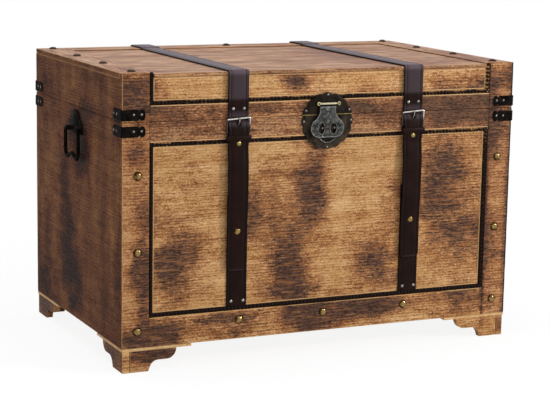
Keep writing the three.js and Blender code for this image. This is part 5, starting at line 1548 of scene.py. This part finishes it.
def handle_outline():
    """The plate's edge round the pivot: straight below, drawn in to a point above."""
    half, top, bottom, shoulder = 35, 36, -7, 16
    waist = (half / 2, top - shoulder / 2)
    right = [(half, bottom)] + arc((half, top - 1.5 * shoulder), (half / 2, top - shoulder), waist, 6)
    right += arc(waist, (half / 3, top), (0, top), 7)[1:]
    return right + [(-u, v) for u, v in reversed(right[:-1])]


def lug(sign, y0, y1):
    """An ear that the bail's end turns in: a block with a round front, pushed from y0 to y1."""
    rings = []
    for y, soft in ((y0, 0.35), (y0 + (y1 - y0) * 0.08, 0.0), (y0 + (y1 - y0) * 0.92, 0.0), (y1, 0.35)):
        radius = 4 - soft
        turns = [math.pi * i / 12 for i in range(13)]
        ring = [(1.8, -radius), *((pivot_out + radius * math.sin(a), -radius * math.cos(a)) for a in turns),
                (1.8, radius)]
        rings.append([at(sign * (half_width + o), y, pivot_z + z) for o, z in ring])
    return skin(rings)


swell = [(0, -0.6), (19, -0.6), (19, 0.0), (18, 0.5), (15.5, 1.4), (11.5, 2.2), (6, 2.7), (0, 2.8)]
half_bail = [(arm - 12.4, 0), (arm - 4.2, 0), (arm - 1.2, 0.5), (arm, 4), (arm, 14), (arm + 0.4, 30),
             (arm - 1.2, 43), (arm - 7, 49.8), (arm - 14, 50.6), (13, 47.2), (6, 44.0)]
whole_bail = half_bail + [(0, 42.8)] + [(-across, down) for across, down in reversed(half_bail)]
for side, sign in SIDES:
    place = plane(at(sign * (half_width + 0.3), depth / 2, pivot_z), (0, sign, 0))
    add_piece(f"{side}_handle_iron", slab([handle_outline()], 2.0, 0.5, place), iron, "body", "black_iron",
              f"{side}_handle_plate")
    mesh = mesh_of("swell", *skin(spin(swell, 36), cap=False))
    middle = at(sign * (half_width + 2.3), depth / 2, pivot_z + 15)
    # The swelling is an oval, lower than it is wide
    mesh.transform(Matrix.Translation(middle) @ Matrix.Scale(0.63, 4, TO_TOP) @ facing((sign, 0, 0), (0, 0, 0)))
    add_piece(f"{side}_handle_swell", mesh, iron, "body", "black_iron")
    lugs = [lug(sign, depth / 2 + k * 22.9, depth / 2 + k * 30.9) for k in (-1, 1)]
    add_piece(f"{side}_handle_lugs", join(lugs), iron, "body", "black_iron")
    path = smooth_path([at(sign * (half_width + pivot_out), depth / 2 + across, pivot_z - down)
                        for across, down in whole_bail], 5)
    radii = []
    for p in path:
        across, down = abs(p.y / MM - front_y - depth / 2), pivot_z - p.z / MM
        radii.append((2.2 if across < arm - 4 and down < 3 else 3.2 if down < 40 else 3.35) * MM)
    add_piece(f"{side}_bail_rod", skin(tube(path, radii, 14)), iron, f"{side}_bail", "black_iron",
              f"{side}_handle_bail", smooth=60)
print("Handles made")

# %% [markdown]
# ## Hinges
#
# The photograph doesn't show the back. A chest like this turns on two steel butt hinges let on to the
# back boards, each with five knuckles on one pin and three screws in a leaf.

# %% Butt hinges
hinge_y, half_leaf, hinge_inset = depth + 4.5, 32, 120
knuckle = 2 * half_leaf / 5
screw = [(0, -0.5), (2.9, -0.5), (3.1, 0.1), (2.7, 0.6), (1.5, 0.85), (0, 0.9)]
leaf = [(-32, 4.6), (32, 4.6), (32, 23.4), (31.4, 24.6), (30.4, 25), (-30.4, 25), (-31.4, 24.6), (-32, 23.4)]
for side, sign in SIDES:
    middle_x = sign * (half_width - hinge_inset)
    x0 = middle_x - half_leaf
    for body, first, way in (("body", 0, -1), ("lid", 1, 1)):
        place = plane(at(middle_x, depth + 0.3, parting), (-1, 0, 0))
        plate = slab([[(-u, way * v) for u, v in leaf]], 1.5, 0.25, place)
        add_piece(f"{side}_{body}_hinge_plate", plate, steel, body, "hinge_steel", f"{side}_{body}_hinge_leaf")
        rolls = []
        for i in range(first, 5, 2):
            a, b = x0 + i * knuckle + 0.15, x0 + (i + 1) * knuckle - 0.15
            ends = [at(x, hinge_y, parting) for x in (a, a + 0.3, b - 0.3, b)]
            rolls.append(skin(tube(ends, [3.7 * MM, 4 * MM, 4 * MM, 3.7 * MM], 24)))
            rolls.append(skin([[at(u, depth + out, parting + way * up) for out, up in (
                (0.4, 0), (1.8, 0), (1.8, 5), (0.4, 5))] for u in (a + 0.1, b - 0.1)]))
        add_piece(f"{side}_{body}_knuckles", join(rolls), steel, body, "hinge_steel")
        places = [(at(x0 + (2 * i + 1) * half_leaf / 3, depth + 1.8, parting + way * 14.8), TO_BACK)
                  for i in range(3)]
        set_heads(f"{side}_{body}_hinge_screws", screw, places, steel_pin, body, "hinge_steel", sides=16, seed=11)
print("Hinges made")
